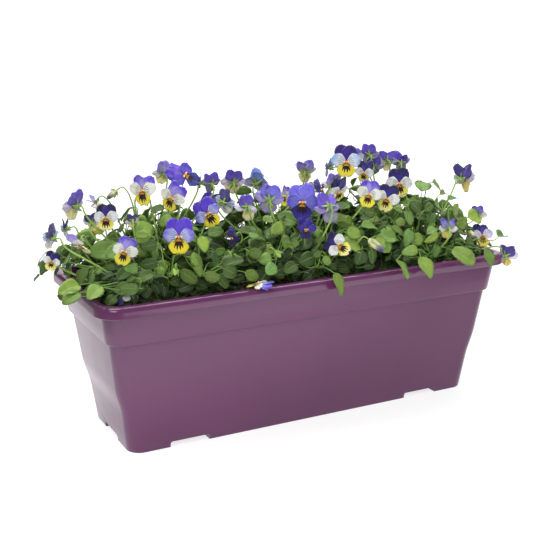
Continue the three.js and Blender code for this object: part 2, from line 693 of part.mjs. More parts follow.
/**
 * A leaf with its petiole as one closed blade. The petiole runs from `root` to the foot of
 * the blade; the blade is thickest along its midrib and shares one edge between its faces.
 */
function leaf({ root, middle, along, normal, length, width, grow = 0 }) {
  const side = new Vector3().crossVectors(normal, along).normalize();
  const onBlade = (share, across, lift) => {
    const arch = LEAF_ARCH * length * (share - LEAF_TOP) ** 2;
    const cup = LEAF_CUP * width * Math.abs(across);
    return middle.clone()
      .addScaledVector(along, length * (share - 0.5))
      .addScaledVector(side, across * (width / 2 + grow))
      .addScaledVector(normal, lift - arch + cup);
  };
  const foot = onBlade(LEAF_FOOT, 0, 0);
  const reach = foot.clone().sub(root).normalize();
  const rootSide = new Vector3().crossVectors(normal, reach).normalize();
  const rootUp = new Vector3().crossVectors(reach, rootSide);
  const stem = PETIOLE_RADIUS + grow;
  const thick = LEAF_THICKNESS / 2 + grow;
  const leftEdge = LEAF_EDGE.map(([share, across]) => onBlade(share, across, 0));
  const rightEdge = LEAF_EDGE.map(([share, across]) => onBlade(share, -across, 0));
  const points = [
    root.clone().addScaledVector(rootSide, stem), // 0 left
    root.clone().addScaledVector(rootSide, -stem), // 1 right
    root.clone().addScaledVector(rootUp, stem), // 2 top
    root.clone().addScaledVector(rootUp, -stem), // 3 bottom
    foot.clone().addScaledVector(rootSide, stem), // 4
    foot.clone().addScaledVector(rootSide, -stem), // 5
    foot.clone().addScaledVector(rootUp, stem), // 6
    foot.clone().addScaledVector(rootUp, -stem), // 7
    ...leftEdge, // 8 to 11
    ...rightEdge, // 12 to 15
    onBlade(1 + grow / length, 0, 0), // 16 tip
    onBlade(LEAF_CREST, 0, thick), // 17
    onBlade(LEAF_CREST, 0, -thick), // 18
  ];
  // The left half of the upper face; the other three quarters mirror it.
  const quarter = (left, edge, crest, footEdge, footCrest, ridge) => [
    [left, footEdge, footCrest], [left, footCrest, crest],
    [footEdge, edge, footCrest], [edge, ridge, footCrest], [edge, edge + 1, ridge],
    [edge + 1, edge + 2, ridge], [edge + 2, edge + 3, ridge], [edge + 3, 16, ridge],
  ];
  const flip = (triangles) => triangles.map(([a, b, c]) => [a, c, b]);
  const triangles = [
    ...flip(quarter(0, 8, 2, 4, 6, 17)),
    ...quarter(1, 12, 2, 5, 6, 17),
    ...quarter(0, 8, 3, 4, 7, 18),
    ...flip(quarter(1, 12, 3, 5, 7, 18)),
    [0, 3, 2], [1, 2, 3],
  ];
  return solidOf(facets(points, triangles));
}

// Steps that spread any number of points evenly over a rectangle, without rows.
const SPREAD = [0.7548776662466927, 0.5698402909980532];

/** The leaf that the growth rule offers under this number; it may have no room to grow. */
function offeredLeaf(index) {
  const [shareX, shareY] = SPREAD.map((step) => (0.5 + index * step) % 1);
  const x = MathUtils.lerp(...LEAF_RANGE, shareX);
  const side = 2 * shareY - 1;
  const y = LEAF_HALF_WIDTH * Math.sign(side) * Math.abs(side) ** LEAF_CROWDING;
  const depth = MathUtils.lerp(...LEAF_DEPTHS, chance(index, 11) ** 2);
  const middle = new Vector3(x, y, canopy(x, y) - depth);
  const plant = nearestPlant(x, y);
  const tiltTurn = 2 * Math.PI * chance(index, 12);
  const tilt = new Vector3(Math.cos(tiltTurn), Math.sin(tiltTurn), 0);
  const facing = new Vector3(
    (x / CANOPY_HALF_LENGTH) ** 3,
    MathUtils.clamp(y / LEAF_FACING_WIDTH, -1, 1),
    0,
  );
  const normal = canopyNormal(x, y).addScaledVector(tilt, LEAF_TILT * chance(index, 13));
  normal.addScaledVector(facing, LEAF_FACING).normalize();
  const outward = new Vector3(x - CROWNS[plant].x, y - CROWNS[plant].y, 0).normalize();
  outward.applyAxisAngle(new Vector3(0, 0, 1), LEAF_FAN * (chance(index, 14) - 0.5));
  const along = outward.addScaledVector(normal, -outward.dot(normal)).normalize();
  const tallest = MathUtils.lerp(...LEAF_LENGTHS, chance(index, 15));
  const length = Math.min(tallest, LEAF_LOWEST_GROWTH * (middle.z - SOIL_LEVEL));
  const width = length * MathUtils.lerp(...LEAF_SHAPES, chance(index, 16));
  const root = petioleRoot(plant, middle, along, length);
  return { plant, middle, along, normal, length, width, root };
}

/** A leaf that hangs over the rim. */
function rimLeaf([x, y, z, turn, pitch, length]) {
  const plant = nearestPlant(x, y);
  const steep = MathUtils.degToRad(pitch);
  const level = heading(turn);
  const along = level.clone().multiplyScalar(Math.cos(steep)).setZ(-Math.sin(steep));
  const normal = level.clone().multiplyScalar(Math.sin(steep)).setZ(Math.cos(steep));
  const middle = new Vector3(x, y, z);
  const root = petioleRoot(plant, middle, along, length);
  return { plant, middle, along, normal, length, width: length * RIM_LEAF_SHAPE, root };
}

/** Where a leaf's petiole leaves its plant's core. */
function petioleRoot(plant, middle, along, length) {
  return anchor(plant, middle.clone().addScaledVector(along, -PETIOLE_START * length));
}

// ---------------------------------------------------------------- assembly
/** Everything placed so far, so that each new leaf grows only where there is room. */
class Thicket {
  constructor() {
    this.pieces = [];
  }

  add(solid, plant = null) {
    this.pieces.push({ solid, plant, box: solid.boundingBox() });
  }

  /** True if the solid meets nothing, apart from the core of its own plant. */
  hasRoom(solid, plant) {
    const box = solid.boundingBox();
    return this.pieces.every((piece) => {
      const apart = [0, 1, 2].some((axis) => box.max[axis] < piece.box.min[axis]
        || box.min[axis] > piece.box.max[axis]);
      return apart || piece.plant === plant || solid.intersect(piece.solid).isEmpty();
    });
  }
}

const trough = windowBox();
const earth = soil();
const cores = CROWNS.map((_, plant) => core(plant));
const shoots = CROWNS.map(() => []);
const thicket = new Thicket();
thicket.add(trough);
thicket.add(earth);
cores.forEach((solid, plant) => thicket.add(solid, plant));

/** Adds a leaf, or a stalk with what it carries, to its plant. */
function addShoot(solid, plant) {
  thicket.add(solid);
  shoots[plant].push(solid);
}

const group = new THREE.Group();
group.add(meshOf(trough, "window_box", FINISHES.plastic));
group.add(meshOf(earth, "soil", FINISHES.soil));

/** Adds a node of one flower, or of flowers that touch. */
function addBlooms(places, name) {
  const solid = union(places.map(flower));
  thicket.add(solid);
  group.add(meshOf(solid, name, FINISHES[places[0][7]]));
}

BLOOMS.forEach((places, index) => {
  addBlooms(places, `bloom_${String(index + 1).padStart(2, "0")}`);
  for (const place of places) {
    const support = flowerSupport(place);
    addShoot(support.solid, support.plant);
  }
});
FALLEN.forEach((place, index) => addBlooms([place], `fallen_bloom_${index + 1}`));

for (const place of BUDS) {
  const shoot = bud(place);
  addShoot(shoot.solid, shoot.plant);
}

/** Whether a leaf keeps out of the open space before every flower. */
function clearOfFaces({ middle, length }) {
  const [turn, rise] = SHOWN_FROM;
  const shown = heading(turn).multiplyScalar(Math.cos(MathUtils.degToRad(rise)));
  shown.z = Math.sin(MathUtils.degToRad(rise));
  return BLOOMS.flat().every((place) => {
    const frame = flowerFrame(place);
    const face = new Vector3().setFromMatrixColumn(frame, 2).normalize();
    const way = middle.clone().sub(new Vector3().setFromMatrixPosition(frame));
    const radius = FACE_RADIUS * place[6] + length / 3;
    return [[face, FACE_REACH], [shown, SHOWN_REACH]].every(([out, reach]) => {
      const ahead = way.dot(out);
      const aside = way.clone().addScaledVector(out, -ahead).length();
      return ahead < 0 || ahead > reach || aside > radius;
    });
  });
}

/** Grows a leaf if it has room, and says whether it did. */
function growLeaf(offer) {
  const { plant, middle, along, length, root } = offer;
  const petiole = middle.clone().addScaledVector(along, length * (LEAF_FOOT - 0.5)).sub(root);
  if (!clearOfFaces(offer) || petiole.length() > PETIOLE_LONGEST) return false;
  if (petiole.normalize().dot(along) < PETIOLE_BEND) return false;
  if (!thicket.hasRoom(leaf({ ...offer, grow: SEAT }), plant)) return false;
  addShoot(leaf(offer), plant);
  return true;
}

let grown = RIM_LEAVES.map(rimLeaf).filter(growLeaf).length;
for (let index = 0; index < LEAF_TRIES && grown < LEAF_COUNT; index += 1) {
  if (growLeaf(offeredLeaf(index))) grown += 1;
}

shoots.forEach((solids, plant) => {
  const whole = union([cores[plant], ...solids]);
  group.add(meshOf(whole, `viola_plant_${plant + 1}`, FINISHES.foliage));
});

export default group;
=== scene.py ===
"""Looks of a planted window box.

A long trough moulded in glossy plum plastic, filled with potting soil and planted with six
clumps of horned violets in flower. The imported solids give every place; this file gives the
finer shapes and the finishes. Sizes here are in millimetres, and are turned to metres when
a mesh is made. The trough's length runs along X and its front looks along -Y.
"""

from __future__ import annotations

import json
import logging
import math
from dataclasses import dataclass, field, replace
from enum import Enum, IntEnum

import bmesh
import bpy
import numpy as np
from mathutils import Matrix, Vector, kdtree


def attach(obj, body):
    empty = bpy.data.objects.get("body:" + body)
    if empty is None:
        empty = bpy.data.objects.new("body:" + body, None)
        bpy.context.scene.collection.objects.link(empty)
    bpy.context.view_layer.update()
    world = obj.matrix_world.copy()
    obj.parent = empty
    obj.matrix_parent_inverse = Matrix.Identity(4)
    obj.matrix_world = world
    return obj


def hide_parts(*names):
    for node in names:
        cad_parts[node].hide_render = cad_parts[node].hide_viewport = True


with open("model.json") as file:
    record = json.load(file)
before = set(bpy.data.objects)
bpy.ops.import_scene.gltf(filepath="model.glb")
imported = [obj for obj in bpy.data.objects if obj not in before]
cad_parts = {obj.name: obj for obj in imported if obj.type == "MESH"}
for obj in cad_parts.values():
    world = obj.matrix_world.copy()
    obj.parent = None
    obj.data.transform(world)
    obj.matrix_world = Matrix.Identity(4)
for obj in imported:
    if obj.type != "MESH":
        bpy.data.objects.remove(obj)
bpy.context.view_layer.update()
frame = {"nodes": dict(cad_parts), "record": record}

Array = np.ndarray
Piece = bpy.types.Object
Material = bpy.types.Material
LOG = logging.getLogger("window_box")

MM = 0.001
TAU = 2 * math.pi
UP = np.array([0.0, 0.0, 1.0])
BODY = "root"


# -------- small tools
def linear(code: str) -> tuple[float, float, float, float]:
    """Turns an sRGB hex colour into linear light.

    Args:
        code: Six hex digits after a hash, such as "#6e3a64".

    Returns:
        Red, green, blue and alpha in linear light.
    """
    shares = [int(code[i:i + 2], 16) / 255 for i in (1, 3, 5)]
    red, green, blue = (s / 12.92 if s <= 0.04045 else ((s + 0.055) / 1.055) ** 2.4 for s in shares)
    return (red, green, blue, 1.0)


def chance(index: int | Array, channel: int) -> float | Array:
    """Draws a number from 0 to 1 that depends only on the whole numbers given.

    Args:
        index: Number of the thing that the draw is for, or an array of such numbers.
        channel: Which of its draws this is.

    Returns:
        The draw, or an array of draws.
    """
    low = 0xFFFFFFFF
    bits = ((index + 1) * 0x9E3779B1 & low) ^ ((channel + 1) * 0x85EBCA6B & low)
    bits = ((bits ^ (bits >> 15)) * 0x2C1B3C6D) & low
    bits = ((bits ^ (bits >> 12)) * 0x297A2D39) & low
    return (bits ^ (bits >> 15)) / 2**32


def unit(vectors: Array) -> Array:
    """Scales vectors, along the last axis, to length one."""
    return vectors / np.maximum(np.linalg.norm(vectors, axis=-1, keepdims=True), 1e-9)


def turned(vector: Array, axis: Array, angle: float) -> Array:
    """Turns a vector about a unit axis by an angle in radians, by the right-hand rule."""
    along = axis * np.dot(axis, vector)
    return along + (vector - along) * math.cos(angle) + np.cross(axis, vector) * math.sin(angle)


def mix(start: Array, end: Array, share: float | Array) -> Array:
    """Blends two values; a share of 0 gives the first and 1 the second."""
    return start + (end - start) * share


def smoothstep(value: float | Array, low: float, high: float) -> float | Array:
    """Rises softly from 0 at `low` to 1 at `high`."""
    share = np.clip((value - low) / (high - low), 0.0, 1.0)
    return share * share * (3 - 2 * share)


def softened(corners: Array, rounds: int = 3) -> Array:
    """Cuts the corners of an open path again and again, which leaves a smooth curve.

    Args:
        corners: Points of the path, one row each.
        rounds: How many times the corners are cut.

    Returns:
        More points, on a curve with the same two ends.
    """
    path = np.asarray(corners, float)
    for _ in range(rounds):
        near = mix(path[:-1], path[1:], 0.25)
        far = mix(path[:-1], path[1:], 0.75)
        inner = np.stack([near, far], axis=1).reshape(-1, 3)[1:-1]
        path = np.vstack([path[:1], inner, path[-1:]])
    return path


def heading(turn: float) -> Array:
    """Level direction, `turn` degrees round from the front towards +X."""
    angle = math.radians(turn)
    return np.array([math.sin(angle), -math.cos(angle), 0.0])


# -------- meshes
class Draft:
    """Points and faces of one piece while it is being modelled, with their data.

    Every point has a place on its own part's surface (the UV map) and may have named
    colours or numbers, which the finishes read.
    """

    def __init__(self) -> None:
        """Starts an empty draft."""
        self.points: list[Array] = []
        self.faces: list[list[int]] = []
        self.finish_of_face: list[int] = []
        self.places: list[Array] = []
        self.data: dict[str, list[tuple[int, Array]]] = {}
        self.count = 0

    def add(self, points: Array, faces: Array, places: Array, finish: int, **data: object) -> None:
        """Adds one closed part.

        Args:
            points: Its corners, in millimetres.
            faces: Corner numbers of its faces, counted within the part.
            places: Each corner's place on the surface, across and along, from 0 to 1.
            finish: Which of the piece's finishes it takes.
            **data: Named values, each one for the whole part or one a corner. A number
                makes a number and a colour makes a colour.
        """
        number = len(points)
        for name, value in data.items():
            rows = np.asarray(value, float)
            wide = rows.ndim == 2 or rows.shape == (4,)
            rows = np.broadcast_to(rows, (number, 4) if wide else (number,))
            self.data.setdefault(name, []).append((self.count, rows))
        self.points.append(points)
        self.places.append(places)
        self.faces.extend((np.asarray(faces) + self.count).tolist())
        self.finish_of_face.extend([finish] * len(faces))
        self.count += number

    def piece(self, name: str, finishes: list[Material]) -> Piece:
        """Makes the object.

        Args:
            name: The piece's name.
            finishes: Its materials, in the order of the numbers given to `add`.

        Returns:
            The new object, at the origin, unturned and unscaled.
        """
        mesh = bpy.data.meshes.new(name)
        mesh.from_pydata((np.vstack(self.points) * MM).tolist(), [], self.faces)
        for finish in finishes:
            mesh.materials.append(finish)
        mesh.polygons.foreach_set("material_index", self.finish_of_face)
        mesh.polygons.foreach_set("use_smooth", [True] * len(self.faces))
        corner_points = np.zeros(len(mesh.loops), np.int32)
        mesh.loops.foreach_get("vertex_index", corner_points)
        layer = mesh.uv_layers.new(name="UVMap")
        layer.data.foreach_set("uv", np.vstack(self.places)[corner_points].astype(np.float32).ravel())
        for title, parts in self.data.items():
            coloured = parts[0][1].ndim == 2
            values = np.zeros((self.count, 4) if coloured else self.count, np.float32)
            for start, rows in parts:
                values[start:start + len(rows)] = rows
            kind = "FLOAT_COLOR" if coloured else "FLOAT"
            attribute = mesh.attributes.new(title, kind, "POINT")
            attribute.data.foreach_set("color" if coloured else "value", values.ravel())
        mesh.update()
        piece = bpy.data.objects.new(name, mesh)
        bpy.context.scene.collection.objects.link(piece)
        return piece


def sheet_faces(rows: int, columns: int) -> tuple[Array, Array]:
    """Faces of a thin closed body: a front grid, and a back grid that shares its edge.

    Args:
        rows: Points along the grid.
        columns: Points across it.

    Returns:
        The faces, and the front numbers of the points that the back has for itself.
    """
    front = np.arange(rows * columns).reshape(rows, columns)
    inner = front[1:-1, 1:-1].ravel()
    back = front.copy()
    back[1:-1, 1:-1] = rows * columns + np.arange(inner.size).reshape(rows - 2, columns - 2)

    def quads(grid: Array) -> Array:
        """Corner numbers of every cell of a grid."""
        cells = [grid[:-1, :-1], grid[:-1, 1:], grid[1:, 1:], grid[1:, :-1]]
        return np.stack(cells, axis=-1).reshape(-1, 4)

    return np.vstack([quads(front), quads(back)[:, ::-1]]), inner


def add_sheet(draft: Draft, front: Array, thickness: float, finish: int, **data: object) -> None:
    """Adds a thin closed blade, such as a leaf, a petal or a sepal.

    Args:
        draft: The piece it belongs to.
        front: The points of its upper face, rows by columns. Seen from in front, the
            columns run to the right and the rows up.
        thickness: Thickness at the middle; the edge is sharp.
        finish: Which of the piece's finishes it takes.
        **data: Named values: one for the whole blade, or a pair, front and back.
    """
    rows, columns = front.shape[:2]
    faces, inner = sheet_faces(rows, columns)
    across = np.gradient(front, axis=1)
    along = np.gradient(front, axis=0)
    facing = unit(np.cross(across, along))
    behind = (front - facing * thickness).reshape(-1, 3)[inner]
    points = np.vstack([front.reshape(-1, 3), behind])
    u, v = np.meshgrid(np.linspace(0, 1, columns), np.linspace(0, 1, rows))
    places = np.stack([u.ravel(), v.ravel()], axis=1)
    spread: dict[str, object] = {"back": np.r_[np.zeros(rows * columns), np.ones(inner.size)]}
    for name, value in data.items():
        if isinstance(value, tuple) and len(value) == 2:
            fore, aft = (np.asarray(side, float) for side in value)
            spread[name] = np.vstack([np.tile(fore, (rows * columns, 1)), np.tile(aft, (inner.size, 1))])
        else:
            spread[name] = value
    draft.add(points, faces, np.vstack([places, places[inner]]), finish, **spread)


def add_tube(draft: Draft, path: Array, radii: Array | float, finish: int, sides: int = 6,
             **data: object) -> None:
    """Adds a closed round stem, bud or spur along a path.

    Args:
        draft: The piece it belongs to.
        path: Points of its middle line.
        radii: Its radius, or one for each point of the path.
        finish: Which of the piece's finishes it takes.
        sides: How many sides it has.
        **data: Named values for the whole stem.
    """
    steps = len(path)
    radii = np.broadcast_to(np.asarray(radii, float), (steps,))
    ahead = unit(np.gradient(path, axis=0))
    side = np.cross(ahead[0], UP if abs(ahead[0][2]) < 0.9 else np.array([1.0, 0.0, 0.0]))
    angles = np.arange(sides) * TAU / sides
    rings = []
    for point, along, radius in zip(path, ahead, radii):
        side = unit(side - along * np.dot(side, along))
        other = np.cross(along, side)
        ring = np.outer(np.cos(angles), side) + np.outer(np.sin(angles), other)
        rings.append(point + radius * ring)
    points = np.vstack([*rings, path[:1], path[-1:]])
    numbers = np.arange(steps * sides).reshape(steps, sides)
    beside = np.roll(numbers, -1, axis=1)
    walls = np.stack([numbers[:-1], beside[:-1], beside[1:], numbers[1:]], axis=-1).reshape(-1, 4)
    foot = steps * sides
    top = foot + 1
    places = np.stack(np.meshgrid(np.arange(sides) / sides, np.linspace(0, 1, steps)), axis=-1)
    places = np.vstack([places.reshape(-1, 2), [[0.5, 0.0], [0.5, 1.0]]])
    spread = {"back": 0.0, **data}
    draft.add(points, walls, places, finish, **spread)
    first = draft.count - len(points)
    draft.faces.extend([first + c for c in (foot, b, a)] for a, b in zip(numbers[0], beside[0]))
    draft.faces.extend([first + c for c in (top, a, b)] for a, b in zip(numbers[-1], beside[-1]))
    draft.finish_of_face.extend([finish] * (2 * sides))


def finish_solid(piece: Piece, finish: Material, edge_angle: float) -> None:
    """Gives a solid its only finish and keeps edges above an angle sharp.

    Args:
        piece: The solid, which is left selected and active.
        finish: Its finish.
        edge_angle: Angle between two faces, in degrees, above which their edge is sharp.
    """
    piece.data.materials.clear()
    piece.data.materials.append(finish)
    bpy.ops.object.select_all(action="DESELECT")
    piece.select_set(True)
    bpy.context.view_layer.objects.active = piece
    bpy.ops.object.shade_smooth_by_angle(angle=math.radians(edge_angle))


def place_piece(piece: Piece, slot: str, *nodes: str) -> None:
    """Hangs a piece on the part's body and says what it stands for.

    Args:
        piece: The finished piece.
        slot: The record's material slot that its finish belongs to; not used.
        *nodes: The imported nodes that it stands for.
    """
    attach(piece, BODY)
    if nodes:
        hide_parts(*nodes)
    LOG.info("%s: %d faces, for %s", piece.name, len(piece.data.polygons), ", ".join(nodes) or "itself")


# -------- finishes
Socket = bpy.types.NodeSocket
Link = Socket | float | tuple


@dataclass(frozen=True)
class Graph:
    """A material's nodes while they are being put together."""

    tree: bpy.types.NodeTree

    def node(self, kind: str, inputs: dict[int | str, Link] | None = None,
             **settings: object) -> bpy.types.Node:
        """Adds a shader node.

        Args:
            kind: The node's type, without its "ShaderNode" prefix.
            inputs: For each input, by name or number, the socket that feeds it or its value.
            **settings: The node's own settings.

        Returns:
            The new node.
        """
        node = self.tree.nodes.new("ShaderNode" + kind)
        for name, value in settings.items():
            setattr(node, name, value)
        for key, value in (inputs or {}).items():
            self.feed(node, key, value)
        return node

    def feed(self, node: bpy.types.Node, key: int | str, value: Link) -> None:
        """Links a socket to a node's input, or sets the input's value."""
        if isinstance(value, Socket):
            self.tree.links.new(value, node.inputs[key])
        else:
            node.inputs[key].default_value = value

    def ramp(self, source: Socket, low: float, high: float, start: float = 0.0,
             end: float = 1.0) -> Socket:
        """Adds a soft step: `start` below `low`, `end` above `high`, and a smooth rise between."""
        inputs = {"Value": source, "From Min": low, "From Max": high, "To Min": start, "To Max": end}
        return self.node("MapRange", inputs, interpolation_type="SMOOTHSTEP").outputs[0]

    def math(self, operation: str, *values: Link) -> Socket:
        """Adds an arithmetic node on one or two numbers."""
        return self.node("Math", dict(enumerate(values)), operation=operation).outputs[0]

    def blend(self, share: Link, start: Link, end: Link) -> Socket:
        """Adds a blend of two colours; inputs 6 and 7 of a colour mix are its two colours."""
        return self.node("Mix", {0: share, 6: start, 7: end}, data_type="RGBA").outputs[2]

    def value(self, name: str) -> Socket:
        """Reads a number that the mesh carries under a name."""
        return self.node("Attribute", attribute_name=name).outputs["Fac"]


@dataclass(frozen=True)
class Finish:
    """A material with its shader's plain settings; each kind of finish adds its pattern."""

    name: str
    roughness: float
    ior: float = 1.5
    coat: float = 0.0
    coat_roughness: float = 0.1
    sheen: float = 0.0
    subsurface: float = 0.0

    def material(self) -> Material:
        """Makes the material with its pattern."""
        material = bpy.data.materials.new(self.name)
        material.use_nodes = True
        graph = Graph(material.node_tree)
        shader = material.node_tree.nodes["Principled BSDF"]
        shader.inputs["Roughness"].default_value = self.roughness
        shader.inputs["IOR"].default_value = self.ior
        shader.inputs["Coat Weight"].default_value = self.coat
        shader.inputs["Coat Roughness"].default_value = self.coat_roughness
        shader.inputs["Sheen Weight"].default_value = self.sheen
        shader.inputs["Sheen Roughness"].default_value = 0.5
        shader.inputs["Subsurface Weight"].default_value = self.subsurface
        shader.inputs["Subsurface Radius"].default_value = (1.0, 0.9, 1.0)
        shader.inputs["Subsurface Scale"].default_value = 0.001
        self.pattern(graph, shader)
        return material

    def pattern(self, graph: Graph, shader: bpy.types.Node) -> None:
        """Adds the nodes that colour and texture the surface."""
        raise NotImplementedError

    @staticmethod
    def bump(graph: Graph, shader: bpy.types.Node, height: Socket, depth: float) -> None:
        """Gives the shader a relief; `depth` is in millimetres."""
        inputs = {"Height": height, "Distance": depth * MM, "Strength": 1.0}
        graph.feed(shader, "Normal", graph.node("Bump", inputs).outputs[0])


@dataclass(frozen=True)
class MouldedPlastic(Finish):
    """Injection-moulded polypropylene: a clear gloss over an even, deep colour.

    The mould leaves a very shallow waviness that bends reflections, and handling leaves
    faint scuffs that only dull the gloss.
    """

    colour: str = "#612d58"
    shade: str = "#5a2951"

    def pattern(self, graph: Graph, shader: bpy.types.Node) -> None:
        """Adds the flow of the moulded colour, the scuffs and the waviness."""
        place = graph.node("TexCoord").outputs["Object"]
        flow = graph.node("TexNoise", {"Vector": place, "Scale": 6.0, "Detail": 2.0}).outputs[0]
        share = graph.ramp(flow, 0.3, 0.75)
        graph.feed(shader, "Base Color", graph.blend(share, linear(self.colour), linear(self.shade)))
        stretched = graph.node("Mapping", {"Vector": place, "Scale": (30.0, 30.0, 260.0)})
        scuffs = graph.node("TexNoise", {"Vector": stretched.outputs[0], "Scale": 1.0, "Detail": 6.0})
        dulled = graph.ramp(scuffs.outputs[0], 0.5, 0.8, self.roughness, self.roughness + 0.08)
        graph.feed(shader, "Roughness", dulled)
        waves = graph.node("TexNoise", {"Vector": place, "Scale": 22.0, "Detail": 1.0}).outputs[0]
        self.bump(graph, shader, waves, 0.3)


@dataclass(frozen=True)
class PottingSoil(Finish):
    """Peat and bark: dark, crumbly and dull, with paler fibres."""

    peat: str = "#1d140e"
    bark: str = "#4a3626"
    fibre: str = "#6f5439"

    def pattern(self, graph: Graph, shader: bpy.types.Node) -> None:
        """Adds crumbs of 2 to 6 mm and paler fibres between them."""
        place = graph.node("TexCoord").outputs["Object"]
        crumbs = graph.node("TexVoronoi", {"Vector": place, "Scale": 260.0})
        grain = graph.node("TexNoise", {"Vector": place, "Scale": 420.0, "Detail": 6.0}).outputs[0]
        earth = graph.blend(graph.ramp(grain, 0.35, 0.7), linear(self.peat), linear(self.bark))
        fibres = graph.ramp(crumbs.outputs["Color"], 0.82, 0.9)
        graph.feed(shader, "Base Color", graph.blend(fibres, earth, linear(self.fibre)))
        self.bump(graph, shader, graph.math("ADD", crumbs.outputs["Distance"], grain), 1.6)


@dataclass(frozen=True)
class LeafSkin(Finish):
    """A leaf's skin: soft green with a faint wax gloss, paler veins and a paler underside.

    The point value "tone" runs from dark to light leaves, drawn at random and with
    painted shade that darkens leaves deep in the leaf mass; "hue" runs from bluish to
    yellowish green.
    """

    veins: float = 6.0
    vein_sweep: float = 0.34
    bluish: tuple[str, str] = ("#132a0b", "#739f52")
    yellowish: tuple[str, str] = ("#264009", "#a3bf47")
    mottled: str = "#2f5218"
    edged: str = "#8fb869"
    veined: str = "#a2bf7c"
    underside: str = "#82a05e"

    def pattern(self, graph: Graph, shader: bpy.types.Node) -> None:
        """Adds the blade's colour and the veins, from the blade's own map."""
        place = graph.node("UVMap", uv_map="UVMap").outputs[0]
        parts = graph.node("SeparateXYZ", {0: place})
        # The tone holds each leaf's random lightness and the painted shade of leaves deep in the mass.
        tone = graph.value("tone")
        hue = graph.value("hue")
        back = graph.value("back")
        doubled = graph.math("MULTIPLY", graph.math("SUBTRACT", parts.outputs[0], 0.5), 2.0)
        aside = graph.math("ABSOLUTE", doubled)
        # Side veins leave the midrib and sweep towards the tip.
        swept = graph.math("MULTIPLY", aside, self.vein_sweep)
        run = graph.math("MULTIPLY", graph.math("SUBTRACT", parts.outputs[1], swept), self.veins)
        saw = graph.math("ABSOLUTE", graph.math("SUBTRACT", graph.math("FRACT", run), 0.5))
        short = graph.ramp(aside, 0.5, 0.95, 1.0, 0.0)
        side_vein = graph.math("MULTIPLY", graph.ramp(saw, 0.0, 0.1, 1.0, 0.0), short)
        midrib = graph.ramp(aside, 0.03, 0.11, 1.0, 0.0)
        vein = graph.math("MAXIMUM", midrib, graph.math("MULTIPLY", side_vein, 0.55))

        mottle = graph.node("TexNoise", {
            "Vector": graph.node("TexCoord").outputs["Object"], "Scale": 130.0, "Detail": 3.0,
        }).outputs[0]
        bluish = graph.blend(tone, *map(linear, self.bluish))
        yellowish = graph.blend(tone, *map(linear, self.yellowish))
        green = graph.blend(hue, bluish, yellowish)
        patches = graph.ramp(mottle, 0.35, 0.75, 0.0, 0.35)
        green = graph.blend(patches, green, linear(self.mottled))
        rim = graph.ramp(aside, 0.8, 1.0, 0.0, 0.25)
        green = graph.blend(rim, green, linear(self.edged))
        green = graph.blend(graph.math("MULTIPLY", vein, 0.24), green, linear(self.veined))
        under = graph.math("MULTIPLY", back, 0.5)
        green = graph.blend(under, green, linear(self.underside))
        graph.feed(shader, "Base Color", green)
        puckers = graph.math("SUBTRACT", graph.math("MULTIPLY", mottle, 0.6), vein)
        self.bump(graph, shader, puckers, 0.35)


@dataclass(frozen=True)
class StemSkin(Finish):
    """A young stem: yellowish green, smooth and a little glassy."""

    pale: str = "#a7c765"
    deep: str = "#5f8a35"

    def pattern(self, graph: Graph, shader: bpy.types.Node) -> None:
        """Adds a soft change of green along and across the stem."""
        place = graph.node("TexCoord").outputs["Object"]
        drift = graph.node("TexNoise", {"Vector": place, "Scale": 70.0, "Detail": 2.0}).outputs[0]
        tone = graph.value("tone")
        share = graph.math("ADD", graph.ramp(drift, 0.3, 0.7, -0.2, 0.2), tone)
        graph.feed(shader, "Base Color", graph.blend(share, linear(self.deep), linear(self.pale)))
        fine = graph.node("TexNoise", {"Vector": place, "Scale": 900.0}).outputs[0]
        self.bump(graph, shader, fine, 0.1)


class FlowerSkin(IntEnum):
    """The finishes of a flower's piece, in order."""

    UPPER = 0
    SIDE = 1
    LIP = 2
    EYE = 3
    BEARD = 4
    SPUR = 5


class GreenSkin(IntEnum):
    """The finishes of a clump's piece, in order."""

    LEAF = 0
    STEM = 1
    PETAL = 2


class Marking(Enum):
    """What is drawn on a petal near the flower's throat."""

    VEINS = "veins"
    WHISKERS = "whiskers"
    BLOTCH = "blotch"


